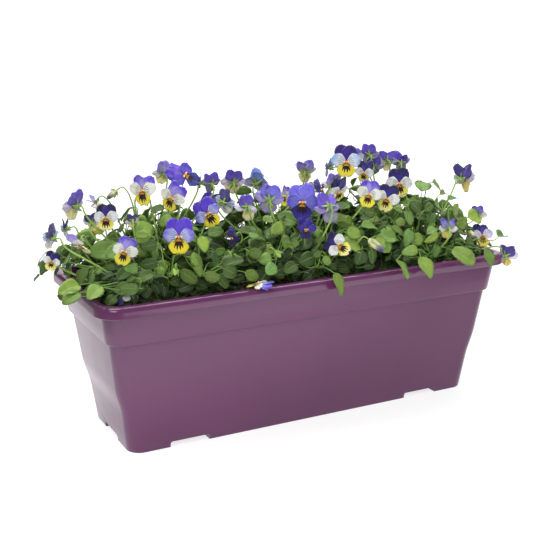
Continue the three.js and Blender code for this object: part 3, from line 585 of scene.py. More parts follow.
@dataclass(frozen=True)
class PetalSkin(Finish):
    """A petal's skin: velvety, with fine veins that fan out from the throat.

    The point colours "heart" and "margin" are the petal's colours near the throat and at
    its edge, and the point value "marks" says how strongly it is marked.
    """

    marking: Marking = Marking.VEINS
    fan_veins: int = 13
    vein_colour: str = "#2a1560"
    ink: str = "#1a0614"
    eye_colour: str = "#f7a51c"
    whisker_rays: int = 6
    blotch_rays: int = 7

    def pattern(self, graph: Graph, shader: bpy.types.Node) -> None:
        """Adds the petal's two colours, its veins and its marking."""
        place = graph.node("UVMap", uv_map="UVMap").outputs[0]
        across, out, _ = graph.node("SeparateXYZ", {0: place}).outputs
        heart = graph.node("Attribute", attribute_name="heart").outputs["Color"]
        margin = graph.node("Attribute", attribute_name="margin").outputs["Color"]
        marks = graph.value("marks")
        cloud = graph.node("TexNoise", {
            "Vector": graph.node("TexCoord").outputs["Object"], "Scale": 160.0, "Detail": 2.0,
        }).outputs[0]
        blurred = graph.math("ADD", out, graph.ramp(cloud, 0.3, 0.7, -0.1, 0.1))
        colour = graph.blend(graph.ramp(blurred, 0.3, 0.95), heart, margin)
        fan = self.rays(graph, across, self.fan_veins)
        vein = graph.ramp(fan, 0.55, 1.0)
        vein = graph.math("MULTIPLY", vein, graph.ramp(out, 0.25, 0.95, 0.3, 0.05))
        colour = graph.blend(vein, colour, linear(self.vein_colour))
        colour = self.marked(graph, across, out, marks, colour)
        graph.feed(shader, "Base Color", colour)
        self.bump(graph, shader, graph.math("ADD", fan, cloud), 0.12)

    @staticmethod
    def rays(graph: Graph, across: Socket, number: int) -> Socket:
        """Waves across the petal that meet at the throat, from -1 between them to 1 on them."""
        return graph.math("COSINE", graph.math("MULTIPLY", across, number * TAU))

    def marked(self, graph: Graph, across: Socket, out: Socket, marks: Socket, colour: Socket) -> Socket:
        """Draws the marking over the petal's colour.

        Args:
            graph: The material's nodes.
            across: Place across the petal, 0 to 1.
            out: Place from the throat out, 0 to 1.
            marks: Strength of the marking.
            colour: The colour so far.

        Returns:
            The colour with its marking.
        """
        if self.marking is Marking.VEINS:
            return colour
        if self.marking is Marking.WHISKERS:
            line = graph.ramp(self.rays(graph, across, self.whisker_rays), 0.55, 0.95)
            inner_end = graph.ramp(out, 0.08, 0.14)
            reach = graph.math("MULTIPLY", graph.ramp(out, 0.4, 0.52, 1.0, 0.0), inner_end)
            share = graph.math("MULTIPLY", graph.math("MULTIPLY", line, reach), marks)
            return graph.blend(share, colour, linear(self.ink))
        comb = self.rays(graph, across, self.blotch_rays)
        middle = graph.math("ABSOLUTE", graph.math("SUBTRACT", across, 0.5))
        fringe = graph.math("MULTIPLY", comb, 0.13)
        length = graph.math("ADD", graph.ramp(middle, 0.08, 0.46, 0.64, 0.12), fringe)
        edge = graph.math("SUBTRACT", graph.math("MULTIPLY", length, marks), out)
        colour = graph.blend(graph.ramp(edge, -0.03, 0.05), colour, linear(self.ink))
        narrow = graph.ramp(middle, 0.2, 0.36, 1.0, 0.0)
        eye = graph.math("MULTIPLY", graph.ramp(out, 0.14, 0.21, 1.0, 0.0), narrow)
        eye = graph.math("MULTIPLY", eye, graph.ramp(marks, 0.05, 0.3))
        return graph.blend(eye, colour, linear(self.eye_colour))


@dataclass(frozen=True)
class Plain(Finish):
    """A small part in one soft colour that drifts between two shades."""

    colour: str = "#f4a71d"
    shade: str = "#c9720d"

    def pattern(self, graph: Graph, shader: bpy.types.Node) -> None:
        """Adds the drift between the two shades."""
        place = graph.node("TexCoord").outputs["Object"]
        drift = graph.node("TexNoise", {"Vector": place, "Scale": 700.0, "Detail": 2.0}).outputs[0]
        colour = graph.blend(drift, linear(self.colour), linear(self.shade))
        graph.feed(shader, "Base Color", colour)
        self.bump(graph, shader, drift, 0.2)


# -------- trough and soil
@dataclass
class Trough:
    """The moulded trough: drafted walls, a band under the rim and a turned-down lip."""

    rim_half_length: float = 250.0
    rim_half_width: float = 95.0
    height: float = 170.0
    lip_drop: float = 11.5
    lip_overhang: float = 8.7
    lip_corner: float = 24.0
    lip_edge: float = 5.0
    wall: float = 2.5
    draft: float = 0.121
    foot_edge: float = 0.8
    base_half_length: float = 214.8
    base_half_width: float = 62.8
    base_corner: float = 16.0
    band_foot: float = 124.8
    band_rise: float = 2.2
    band_corner: float = 20.0
    waist_from: float = 41.0
    waist_to: float = 73.5
    waist_step: float = 3.6
    channel_height: float = 6.5
    channel_corner: float = 2.4
    cross_channel_width: float = 45.0
    cross_channel_x: float = 148.5
    end_channel_width: float = 42.0
    drain_radius: float = 4.5
    drain_y: float = 28.0
    corner_steps: int = 9
    side_steps: tuple[int, int] = (1, 1)

    def outline(self, half_length: float, half_width: float, corner: float, z: float) -> Array:
        """One level outline: a rectangle with round corners, anticlockwise from +X.

        Args:
            half_length: Half of its length along X.
            half_width: Half of its width along Y.
            corner: Radius of its corners.
            z: Its height.

        Returns:
            Its points, the same number at every level.
        """
        points: list[list[float]] = []
        for quarter in range(4):
            along = 1 if quarter in (0, 3) else -1
            across = 1 if quarter < 2 else -1
            for step in range(self.corner_steps + 1):
                angle = math.pi / 2 * (quarter + step / self.corner_steps)
                x = along * (half_length - corner) + corner * math.cos(angle)
                y = across * (half_width - corner) + corner * math.sin(angle)
                points.append([x, y, z])
        points.append(points[0])
        # Points along the straight sides, between one corner's last and the next one's first.
        filled: list[Array] = []
        for number, (start, end) in enumerate(zip(points[:-1], points[1:])):
            filled.append(np.array(start))
            quarter, step = divmod(number, self.corner_steps + 1)
            if step == self.corner_steps:
                cells = self.side_steps[quarter % 2]
                filled.extend(mix(np.array(start), np.array(end), k / cells) for k in range(1, cells))
        return np.array(filled)

    def body(self, z: float, inset: float = 0.0) -> Array:
        """Outline of the tapered body at a height, moved in by `inset`."""
        waist = self.waist_step * float(smoothstep(z, self.waist_from, self.waist_to))
        return self.outline(self.base_half_length + self.draft * z + waist - inset,
                            self.base_half_width + self.draft * z - inset,
                            self.base_corner - inset / 2, z)

    def band(self, z: float, inset: float = 0.0) -> Array:
        """Outline of the wider band below the rim, moved in by `inset`."""
        slope = self.draft * (z - (self.height - self.lip_drop))
        return self.outline(self.rim_half_length - self.lip_overhang + slope - inset,
                            self.rim_half_width - self.lip_overhang + slope - inset,
                            self.band_corner - inset, z)

    def lip(self, z: float, inset: float = 0.0) -> Array:
        """Outline of the turned-down lip, moved in by `inset`."""
        return self.outline(self.rim_half_length - inset, self.rim_half_width - inset,
                            self.lip_corner - inset, z)

    def walls(self) -> list[Array]:
        """Every outline in order: up the outside, over the lip and down the inside."""
        lip_foot = self.height - self.lip_drop
        lip_inside = self.height - self.wall
        quarter = np.linspace(0.0, math.pi / 2, 5).tolist()
        waist = list(np.linspace(self.waist_from, self.waist_to, 7))
        rings = [self.body(self.foot_edge * (1 - math.sin(a)), self.foot_edge * (1 - math.cos(a)))
                 for a in reversed(quarter)]
        rings += [self.body(z) for z in (self.waist_from / 2, *waist, 99.0, self.band_foot - 0.6)]
        for angle in quarter:
            z = self.band_foot + self.band_rise * (1 - math.cos(angle))
            rings.append(mix(self.body(z), self.band(z), math.sin(angle)))
        rings += [self.band(z) for z in (142.0, lip_foot, lip_inside)]
        rings += [self.lip(lip_inside, self.wall), self.lip(lip_foot, self.wall)]
        rings += [self.lip(lip_foot, self.foot_edge), self.lip(lip_foot + self.foot_edge)]
        for angle in quarter:
            z = self.height - self.lip_edge * (1 - math.sin(angle))
            rings.append(self.lip(z, self.lip_edge * (1 - math.cos(angle))))
        rings += [self.band(self.height, self.wall - 1.0), self.band(self.height - 0.3, self.wall - 0.3)]
        rings += [self.band(z, self.wall) for z in (self.height - 1.0, self.band_foot + self.wall)]
        rings += [self.body(z, self.wall) for z in (self.band_foot - 1.0, *reversed(waist), self.wall)]
        return rings

    def chain(self, name: str, rings: list[Array]) -> Piece:
        """Draws a disc up, over and down through outlines, as one closed body.

        Args:
            name: The piece's name.
            rings: The outlines, in order.

        Returns:
            The new object.
        """
        bpy.ops.mesh.primitive_circle_add(vertices=len(rings[0]), radius=1.0, fill_type="NGON")
        piece = bpy.context.active_object
        piece.name = name

        def bearing(point: Vector | list[float]) -> float:
            """Angle of a point round the middle, from 0 to a full turn."""
            return math.atan2(point[1], point[0]) % TAU

        bpy.ops.object.mode_set(mode="EDIT")
        for level, ring in enumerate(rings):
            if level:
                bpy.ops.mesh.extrude_region_move()
            mesh = bmesh.from_edit_mesh(piece.data)
            loop = sorted((vertex for vertex in mesh.verts if vertex.select), key=lambda v: bearing(v.co))
            for vertex, point in zip(loop, sorted(ring.tolist(), key=bearing)):
                vertex.co = Vector(point) * MM
            bmesh.update_edit_mesh(piece.data)
        bpy.ops.mesh.select_all(action="SELECT")
        bpy.ops.mesh.normals_make_consistent(inside=False)
        bpy.ops.object.mode_set(mode="OBJECT")
        return piece

    def channel(self, width: float, grow: float, low: tuple[float, float], high: tuple[float, float],
                along_x: bool) -> Piece:
        """A channel's space under the floor, as a bar with rounded upper edges.

        Args:
            width: Width of the channel.
            grow: How much larger the bar is, on its sides and top.
            low: Its lowest X and Y.
            high: Its highest X and Y.
            along_x: True if it runs along X.

        Returns:
            The bar.
        """
        foot = -1.0
        top = self.channel_height + grow
        middle = [(low[0] + high[0]) / 2, (low[1] + high[1]) / 2, (foot + top) / 2]
        size = [high[0] - low[0], high[1] - low[1], top - foot]
        size[1 if along_x else 0] = width + 2 * grow
        bpy.ops.mesh.primitive_cube_add(size=1, location=Vector(middle) * MM, scale=Vector(size) * MM)
        bar = bpy.context.active_object
        bpy.ops.object.mode_set(mode="EDIT")
        bpy.ops.mesh.select_all(action="DESELECT")
        mesh = bmesh.from_edit_mesh(bar.data)
        axis = 0 if along_x else 1
        for edge in mesh.edges:
            a, b = (bar.matrix_world @ v.co for v in edge.verts)
            at_top = min(a.z, b.z) > (top - 0.1) * MM
            edge.select = at_top and abs(a[axis] - b[axis]) > 1e-4
        bmesh.update_edit_mesh(bar.data)
        bpy.ops.object.mode_set(mode="OBJECT")
        bpy.ops.object.transform_apply(location=True, rotation=False, scale=True)
        bpy.ops.object.mode_set(mode="EDIT")
        bpy.ops.mesh.bevel(offset=self.channel_corner * MM, segments=4)
        bpy.ops.object.mode_set(mode="OBJECT")
        return bar

    def channels(self, grow: float, reach_x: float, reach_y: float) -> list[Piece]:
        """Every channel bar, out to the given half length and half width."""
        bars = []
        for side in (-1, 1):
            x = side * self.cross_channel_x
            half = self.cross_channel_width / 2
            bars.append(self.channel(self.cross_channel_width, grow, (x - half, -reach_y),
                                     (x + half, reach_y), False))
            near, far = sorted((x, side * reach_x))
            bars.append(self.channel(self.end_channel_width, grow, (near, -1), (far, 1), True))
        return bars

    def combine(self, piece: Piece, tools: list[Piece], operation: str) -> None:
        """Joins tools to a piece or cuts them out of it, and removes them.

        Args:
            piece: The piece that stays.
            tools: The bodies joined or cut.
            operation: "UNION" or "DIFFERENCE".
        """
        for tool in tools:
            boolean = piece.modifiers.new("combine", "BOOLEAN")
            boolean.object = tool
            boolean.operation = operation
            boolean.solver = "EXACT"
            bpy.context.view_layer.objects.active = piece
            bpy.ops.object.modifier_apply(modifier=boolean.name)
            bpy.data.objects.remove(tool)

    def build(self, finish: Material) -> Piece:
        """Models the trough.

        Args:
            finish: Its plastic.

        Returns:
            The finished piece.
        """
        trough = self.chain("trough", self.walls())
        inside = (self.base_half_length - self.wall / 2, self.base_half_width - self.wall / 2)
        self.combine(trough, self.channels(self.wall, *inside), "UNION")
        outside = (self.rim_half_length + self.wall, self.rim_half_width + self.wall)
        self.combine(trough, self.channels(0.0, *outside), "DIFFERENCE")
        drains = []
        for x in (-self.cross_channel_x, self.cross_channel_x):
            for y in (-self.drain_y, self.drain_y):
                place = Vector((x, y, self.channel_height)) * MM
                bpy.ops.mesh.primitive_cylinder_add(vertices=28, radius=self.drain_radius * MM,
                                                    depth=4 * self.wall * MM, location=place)
                drains.append(bpy.context.active_object)
        self.combine(trough, drains, "DIFFERENCE")
        finish_solid(trough, finish, 32)
        return trough


@dataclass
class Soil:
    """The potting soil's crowned, crumbly top and the block of soil below it."""

    trough: Trough
    level: float = 148.0
    crowning: float = 4.0
    gap: float = 0.3
    crumbs: int = 260
    crumb_room: tuple[float, float] = (225.0, 72.0)
    crumb_sizes: tuple[float, float] = (1.2, 3.4)
    top_half: tuple[float, float] = (240.0, 82.0)
    top_rings: int = 14

    def height(self, x: Array, y: Array, share: Array | float) -> Array:
        """Height of the soil's top over a point; `share` is 1 at the walls and 0 inside."""
        lumps = 1.3 * np.sin(x / 17 + 2.1) * np.cos(y / 13) + 0.9 * np.sin(x / 7.3 - y / 9.1)
        return self.level + self.crowning * (1 - share) - 2 * share**6 + lumps * (1 - share**6)

    def build(self, finish: Material) -> Piece:
        """Models the soil.

        Args:
            finish: Its dull, crumbly finish.

        Returns:
            The finished piece.
        """
        form = Trough(corner_steps=5, side_steps=(46, 16), wall=self.trough.wall)
        shell = form.wall + self.gap
        foot = form.channel_height + form.wall + self.gap
        rings = [form.body(z, shell) for z in (foot, form.waist_from, form.waist_to, form.band_foot - 1)]
        rings += [form.band(z, shell) for z in (form.band_foot + 3, self.level - 2)]
        edge = rings[-1]
        for k in range(1, self.top_rings):
            share = 1 - k / self.top_rings
            x = edge[:, 0] * share
            y = edge[:, 1] * share
            rings.append(np.stack([x, y, self.height(x, y, share)], axis=1))
        soil = form.chain("potting_soil_block", rings)
        draft = Draft()
        for index in range(self.crumbs):
            x = mix(-self.crumb_room[0], self.crumb_room[0], chance(index, 61))
            y = mix(-self.crumb_room[1], self.crumb_room[1], chance(index, 62))
            size = mix(*self.crumb_sizes, chance(index, 63) ** 2)
            share = max(abs(x) / self.top_half[0], abs(y) / self.top_half[1])
            base = np.array([x, y, float(self.height(x, y, share)) + size * 0.3])
            lean = unit(np.array([chance(index, 64) - 0.5, chance(index, 65) - 0.5, 0.2]))
            reach = size * mix(1.0, 2.2, chance(index, 66))
            path = base + np.outer(np.array([-1.0, -0.5, 0.4, 1.0]), lean) * reach
            add_tube(draft, path, size * np.array([0.35, 0.9, 1.0, 0.3]), 0, sides=5)
        crumbs = draft.piece("soil_crumbs", [finish])
        finish_solid(soil, finish, 50)
        crumbs.select_set(True)
        bpy.ops.object.join()
        soil.name = "potting_soil"
        return soil


# -------- how the plants stand
@dataclass(frozen=True)
class Planting:
    """Where the clumps stand and how high their leaves reach."""

    crowns: tuple[tuple[float, float], ...] = (
        (-160, -37), (-2, -36), (156, -37), (-156, 37), (3, 38), (160, 36),
    )
    rim_height: float = 170.0
    rim_half_length: float = 250.0
    rim_half_width: float = 95.0
    soil_level: float = 148.0
    canopy_height: float = 68.0
    canopy_half_length: float = 285.0
    canopy_half_width: float = 102.0
    end_fall: float = 0.72
    side_fall: float = 0.86
    core_axes: tuple[float, float, float] = (74.0, 33.0, 26.0)
    core_height: float = 174.0
    core_bedding: float = 0.8
    lowest_shoot: float = 160.0
    leaf_arch: float = 0.2
    leaf_top: float = 0.35
    leaf_cup: float = 0.12
    leaf_range: tuple[float, float] = (-276.0, 262.0)
    leaf_half_width: float = 92.0
    leaf_crowding: float = 0.66
    leaf_depths: tuple[float, float] = (3.0, 27.0)
    leaf_lengths: tuple[float, float] = (17.0, 32.0)
    leaf_shapes: tuple[float, float] = (0.66, 0.9)
    leaf_lean: float = 0.5
    leaf_facing: float = 0.8
    leaf_swing: float = 2.2

    def canopy(self, x: float | Array, y: float | Array) -> float | Array:
        """Height of the leaf mass's outer surface over a point."""
        across = np.minimum(1, np.abs(y) / self.canopy_half_width) ** 2
        along = np.minimum(1, np.abs(x) / self.canopy_half_length) ** 4
        share = (1 - self.side_fall * across) * (1 - self.end_fall * along)
        return self.rim_height + self.canopy_height * share

    def canopy_normal(self, x: float, y: float) -> Array:
        """Outward direction of the leaf mass's surface."""
        step = 2.0
        along_x = (self.canopy(x + step, y) - self.canopy(x - step, y)) / (2 * step)
        along_y = (self.canopy(x, y + step) - self.canopy(x, y - step)) / (2 * step)
        return unit(np.array([-along_x, -along_y, 1.0]))

    def nearest(self, x: float, y: float) -> int:
        """Number of the clump that a shoot here belongs to."""
        return int(np.argmin([math.hypot(0.8 * (cx - x), cy - y) for cx, cy in self.crowns]))

    def anchor(self, plant: int, goal: Array) -> Array:
        """Where a shoot that leads to `goal` starts, bedded in its clump."""
        middle = np.array([*self.crowns[plant], self.core_height])
        way = goal - middle
        spread = float(np.linalg.norm(way / np.array(self.core_axes)))
        point = middle + way * min(1.0, self.core_bedding / spread)
        point[2] = max(point[2], self.lowest_shoot)
        return point


# Way from a blade's middle back to its foot, as a share of its length.
LEAF_FOOT = 0.49


@dataclass
class Leaf:
    """One leaf: the middle of its blade, the way it points and faces, and its size."""

    plant: int
    middle: Array
    along: Array
    normal: Array
    length: float
    width: float
    number: int
    over_rim: bool = False
    roll: float = 0.0

    @property
    def foot(self) -> Array:
        """Where the blade meets its petiole."""
        return self.middle - self.along * self.length * LEAF_FOOT

    def tip(self, planting: Planting) -> Array:
        """The blade's tip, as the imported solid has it."""
        drop = planting.leaf_arch * self.length * (1 - planting.leaf_top) ** 2
        return self.middle + self.along * self.length * 0.5 - self.normal * drop


# Steps along X and Y that spread any number of leaves evenly, without rows.
EVEN_STEPS = (0.7548776662466927, 0.5698402909980532)


def offered_leaf(planting: Planting, index: int) -> Leaf:
    """The leaf that the growth rule offers under this number.

    Args:
        planting: Where the clumps stand.
        index: The leaf's number.

    Returns:
        The leaf, whether it had room to grow or not.
    """
    x = mix(*planting.leaf_range, (0.5 + index * EVEN_STEPS[0]) % 1)
    side = 2 * ((0.5 + index * EVEN_STEPS[1]) % 1) - 1
    y = math.copysign(planting.leaf_half_width * abs(side) ** planting.leaf_crowding, side)
    depth = mix(*planting.leaf_depths, chance(index, 11) ** 2)
    plant = planting.nearest(x, y)
    tilt = TAU * chance(index, 12)
    lean = np.array([math.cos(tilt), math.sin(tilt), 0.0]) * planting.leaf_lean * chance(index, 13)
    outside = np.array([(x / planting.canopy_half_length) ** 3, float(np.clip(y / 40, -1, 1)), 0.0])
    normal = unit(planting.canopy_normal(x, y) + lean + planting.leaf_facing * outside)
    cx, cy = planting.crowns[plant]
    swing = planting.leaf_swing * (chance(index, 14) - 0.5)
    outward = turned(unit(np.array([x - cx, y - cy, 0.0])), UP, swing)
    along = unit(outward - normal * np.dot(outward, normal))
    middle = np.array([x, y, planting.canopy(x, y) - depth])
    length = min(mix(*planting.leaf_lengths, chance(index, 15)), 0.5 * (middle[2] - planting.soil_level))
    width = length * mix(*planting.leaf_shapes, chance(index, 16))
    return Leaf(plant, middle, along, normal, length, width, index)


# Leaves that hang over the rim: x, y, z of the blade's middle, the way the tip points in
# degrees round from the front towards +X, how steeply it points down, its length, and how
# far it is rolled towards its own right.
RIM_LEAVES = (
    (9, -103, 166, 10, 60, 27, 0),
    (89, -103, 173, 4, 44, 27, -25),
    (120, -104, 171, 12, 54, 27, 10),
    (172, -104, 178, 40, 28, 31, 38),
    (209, -103, 173, 8, 52, 22, 0),
    (-276, -10, 190, -92, 10, 22, -42),
    (-271, -66, 189, -72, 6, 25, -42),
    (-271, -74, 181, -70, 22, 22, -36),
    (-250, -80, 186, -50, 20, 22, -25),
    (268, 2, 186, 95, 20, 28, 40),
    (266, -20, 180, 88, 30, 26, 22),
    (-120, 104, 178, 185, 40, 28, 0),
    (40, 104, 173, 170, 52, 26, 0),
    (205, 104, 178, 190, 40, 27, 0),
)
# A rim leaf's least and greatest width, as shares of its length.
RIM_LEAF_SHAPE = (0.58, 0.8)


def rim_leaf(planting: Planting, number: int, place: tuple[float, ...]) -> Leaf:
    """A leaf that hangs over the rim.

    Args:
        planting: Where the clumps stand.
        number: The leaf's own number, for its random draws.
        place: Its row in RIM_LEAVES.

    Returns:
        The leaf.
    """
    x, y, z, turn, pitch, length, roll = place
    steep = math.radians(pitch)
    level = heading(turn)
    along = level * math.cos(steep) - UP * math.sin(steep)
    normal = level * math.sin(steep) + UP * math.cos(steep)
    middle = np.array([x, y, z], float)
    width = length * mix(*RIM_LEAF_SHAPE, chance(number, 17))
    return Leaf(planting.nearest(x, y), middle, along, normal, length, width, number, over_rim=True,
                roll=math.radians(roll))


# -------- flowers
class Kind(Enum):
    """A flower's colouring: upper petals, side petals and lip, each at heart and margin."""

    VIOLET_CREAM = ("#b0a4f0", "#553ac8", "#f8f8ec", "#f2f1e2", "#fbe437", "#fbe94f")
    NAVY_CREAM = ("#2f2390", "#0e0839", "#f8f9f0", "#e9ebf2", "#fae544", "#f8f0a8")
    NAVY_LILAC = ("#43309f", "#1c1268", "#ece6f6", "#c9c0ee", "#f4cf4a", "#f8e060")
    VIOLET_BLUE = ("#6c4fdc", "#5636ce", "#c6caf6", "#8782e0", "#fbe02a", "#f8e236")
    VIOLET_LILAC = ("#8468dc", "#644bc6", "#e2daf6", "#c9c0ee", "#f6e884", "#f8eebc")
    PURPLE_SKY = ("#42209c", "#280f66", "#e8eef8", "#accaf2", "#f8e33a", "#f6e44a")
    INDIGO_SKY = ("#2c2080", "#150d50", "#8fa6e6", "#b6d0f6", "#d9e0f4", "#efebd0")
    SKY_PURPLE = ("#9cc0f6", "#8aa6f0", "#66369e", "#8a92e6", "#acc4f4", "#9ab4f0")
    PERIWINKLE = ("#8a86ee", "#766ae0", "#8e8ae8", "#6a60d6", "#281874", "#382aa6")
    ALL_VIOLET = ("#7654d8", "#5e40c6", "#6650c8", "#4c38b4", "#2c3292", "#262e84")
    DEEP_VIOLET = ("#3e2ca4", "#2c1c8c", "#483aac", "#302494", "#1d1056", "#281b74")
    LILAC_CREAM = ("#cabef6", "#9a8aea", "#f8f2e8", "#e4def4", "#f8e97c", "#f6eeae")

    @property
    def deep(self) -> bool:
        """True if the side petals and the lip are so dark that the whiskers hardly show."""
        return self in (Kind.ALL_VIOLET, Kind.DEEP_VIOLET, Kind.PERIWINKLE, Kind.SKY_PURPLE)


@dataclass(frozen=True)
class Flower:
    """An open flower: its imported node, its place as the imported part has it, and its looks.

    `folded` says how far its petals are curled and twisted out of their flat, open shape.
    """

    node: int
    x: float
    y: float
    z: float
    turn: float
    nod: float
    roll: float
    size: float
    kind: Kind
    folded: float = 0.0

    @property
    def axes(self) -> Array:
        """Rows: right as seen from in front, up the face, and out of it."""
        lift = math.radians(self.nod)
        out = heading(self.turn) * math.cos(lift) + UP * math.sin(lift)
        up = turned(unit(UP - out * out[2]), out, math.radians(self.roll))
        return np.stack([np.cross(up, out), up, out])

    @property
    def centre(self) -> Array:
        """The flower's throat."""
        return np.array([self.x, self.y, self.z], float)

    def at(self, points: Array) -> Array:
        """Moves points from the flower's own frame to their place on the plant."""
        return self.centre + self.size * (np.asarray(points, float) @ self.axes)


K = Kind
# Each row is in the order of Flower's fields: node, x, y, z, turn, nod, roll, size, kind, folded.
FLOWERS = tuple(Flower(*row) for row in (
    (1, -278, -35, 233, -140, 5, 0, 0.85, K.INDIGO_SKY, 0.6),
    (2, -282, -50, 213, -30, 0, -15, 0.62, K.NAVY_CREAM, 0.15),
    (3, -249, -30, 221, -45, -50, 70, 0.95, K.LILAC_CREAM, 0.4),
    (4, -244, 0, 255, -152, 0, 0, 1.05, K.VIOLET_LILAC, 0.35),
    (5, -215, 20, 252, -110, -65, 0, 0.65, K.LILAC_CREAM, 0.8),
    (6, -246, 30, 226, -120, -10, 0, 0.7, K.INDIGO_SKY, 0.5),
    (7, -220, -30, 246, -27, 5, 0, 0.9, K.NAVY_CREAM, 0.0),
    (8, -225, 0, 236, 150, 0, 0, 0.7, K.NAVY_CREAM, 0.5),
    (9, -212, -60, 217, -30, 10, -15, 0.9, K.VIOLET_CREAM, 0.0),
    (10, -185, -8, 235, 165, -20, 0, 0.5, K.NAVY_CREAM, 0.6),
    (11, -180, -28, 270, -45, 0, 0, 1.05, K.VIOLET_CREAM, 0.25),
    (12, -165, -2, 258, 80, -10, 0, 0.7, K.LILAC_CREAM, 0.7),
    (13, -152, -38, 262, -55, -5, -25, 1, K.VIOLET_CREAM, 0.25),
    (14, -120, 5, 276, 15, 30, 40, 1.2, K.ALL_VIOLET, 0.35),
    (15, -133, 34, 275, 175, 5, 0, 0.9, K.LILAC_CREAM, 0.7),
    (16, -155, -62, 226, -27, 5, 0, 1.15, K.VIOLET_BLUE, 0.0),
    (17, -110, -32, 240, -20, 0, 32, 1.05, K.VIOLET_BLUE, 0.2),
    (18, -82, 22, 262, 170, 10, 0, 0.8, K.ALL_VIOLET, 0.9),
    (19, -61, 10, 264, 160, 5, 0, 1, K.VIOLET_LILAC, 0.5),
    (20, -78, -6, 245, 120, -10, 0, 0.9, K.INDIGO_SKY, 0.6),
    (21, -23, 24, 258, 130, 10, 0, 1.15, K.SKY_PURPLE, 0.8),
    (22, -63, -28, 241, 165, -25, 0, 0.9, K.VIOLET_LILAC, 0.8),
    (23, -46, -49, 253, 155, 0, 0, 1.1, K.PERIWINKLE, 0.35),
    (24, -4, -45, 245, -25, 5, 0, 1.25, K.PERIWINKLE, 0.15),
    (25, 34, 18, 268, 150, 5, 0, 1, K.LILAC_CREAM, 0.9),
    (26, -5, -8, 246, -85, 0, 0, 0.75, K.VIOLET_CREAM, 0.3),
    (27, -14, -72, 222, -20, -15, 0, 0.75, K.DEEP_VIOLET, 0.4),
    (28, -88, -45, 215, -70, -25, 0, 0.7, K.DEEP_VIOLET, 0.5),
    (29, 65, -22, 281, -25, 5, 0, 1.2, K.PURPLE_SKY, 0.0),
    (30, 65, 18, 270, -140, 0, 0, 0.8, K.SKY_PURPLE, 0.5),
    (31, 58, -2, 252, 175, -15, 0, 0.85, K.LILAC_CREAM, 0.7),
    (32, 122, 20, 281, 160, 5, 0, 0.85, K.ALL_VIOLET, 0.6),
    (32, 129, 20, 267, 145, 0, 0, 0.85, K.DEEP_VIOLET, 0.6),
    (33, 95, 8, 280, 170, 0, 0, 0.75, K.VIOLET_LILAC, 0.8),
    (34, 80, -36, 270, -60, 0, 0, 0.85, K.NAVY_CREAM, 0.4),
    (35, 157, 34, 270, 162, 5, 0, 0.9, K.VIOLET_LILAC, 0.7),
    (35, 173, 28, 267, 150, 5, 0, 0.9, K.ALL_VIOLET, 0.8),
    (36, 147, -8, 248, -20, 5, 0, 1.15, K.NAVY_CREAM, 0.1),
    (37, 74, -56, 249, -30, 5, -10, 1, K.VIOLET_CREAM, 0.1),
    (38, 102, -50, 241, -25, 5, -20, 1, K.NAVY_CREAM, 0.15),
    (39, 44, -42, 253, 15, -30, 0, 1, K.NAVY_CREAM, 0.2),
    (40, 16, -66, 240, 165, -42, 0, 1.05, K.ALL_VIOLET, 0.6),
    (41, 39, -10, 250, 40, 0, 0, 0.85, K.DEEP_VIOLET, 0.4),
    (42, 18, -85, 203, -27, 10, 60, 0.95, K.NAVY_CREAM, 0.35),
    (43, 226, -30, 251, 100, 0, 0, 1.2, K.NAVY_LILAC, 0.6),
    (44, 279, 5, 197, 120, 0, 0, 0.75, K.VIOLET_CREAM, 0.5),
    (45, 176, -68, 202, 150, -20, 0, 0.8, K.VIOLET_CREAM, 0.6),
    (46, 240, -52, 184, -20, 25, 0, 0.95, K.NAVY_LILAC, 0.15),
    (47, 263, -72, 161, 110, -5, 0, 0.95, K.NAVY_LILAC, 0.7),
    (48, -195, 74, 218, 190, 10, 0, 1, K.VIOLET_BLUE, 0.0),
    (49, -60, 78, 226, 175, 10, 10, 1.1, K.VIOLET_CREAM, 0.1),
    (50, 60, 76, 228, 200, 5, -10, 1, K.PERIWINKLE, 0.1),
    (51, 165, 78, 218, 170, 10, 0, 1.05, K.NAVY_CREAM, 0.1),
))
FALLEN = Flower(0, -80, -91, 174.8, -120, 62, 0, 0.9, K.VIOLET_CREAM, 0.6)


@dataclass(frozen=True)
class RoundPart:
    """A small round part of a flower or a bud, in the flower's own frame.

    Each row holds a point of its middle line and the radius there.
    """

    rows: tuple[tuple[float, float, float, float], ...]
    sides: int

    def add(self, draft: Draft, flower: Flower, size: float, finish: int, **data: object) -> None:
        """Adds the part where a flower stands; `size` scales its radii."""
        rows = np.array(self.rows, float)
        add_tube(draft, flower.at(rows[:, :3]), size * rows[:, 3], finish, self.sides, **data)


EYE = RoundPart(((0, 0.6, -1.5, 1.2), (0, 0.5, 1.4, 1.25), (0, -0.1, 2.5, 0.9), (0, -0.6, 2.9, 0.2)), 8)
BEARD = tuple(
    RoundPart(((side * 1.6, 0.4, 0.6, 0.4), (side * 2.2, 0.7, 1.7, 0.85), (side * 2.7, 0.5, 2.1, 0.75),
               (side * 3.3, 0, 1.8, 0.2)), 7)
    for side in (-1, 1))
SPUR = RoundPart(((0, -1.0, 0.4, 1.6), (0, -1.6, -2.2, 1.5), (0, -2.3, -5.0, 1.35), (0, -2.6, -8.0, 1.25),
                  (0, -2.3, -9.6, 0.35)), 8)
CUP = RoundPart(((0, 0, -6.6, 1.0), (0, 0, -5.2, 2.0), (0, 0, -3.6, 2.2), (0, 0, -1.0, 1.4)), 8)
OVARY = RoundPart(((0, 0, -1.5, 1.0), (0, 0, 0.5, 2.6), (0, 0, 2.2, 2.4), (0, 0, 3.4, 0.4)), 9)
CAPSULE = RoundPart(((0, 0, -1.8, 0.9), (0, 0, 0, 2.6), (0, 0, 2.5, 3.3), (0, 0, 5.0, 2.6),
                     (0, 0, 7.4, 0.5)), 9)
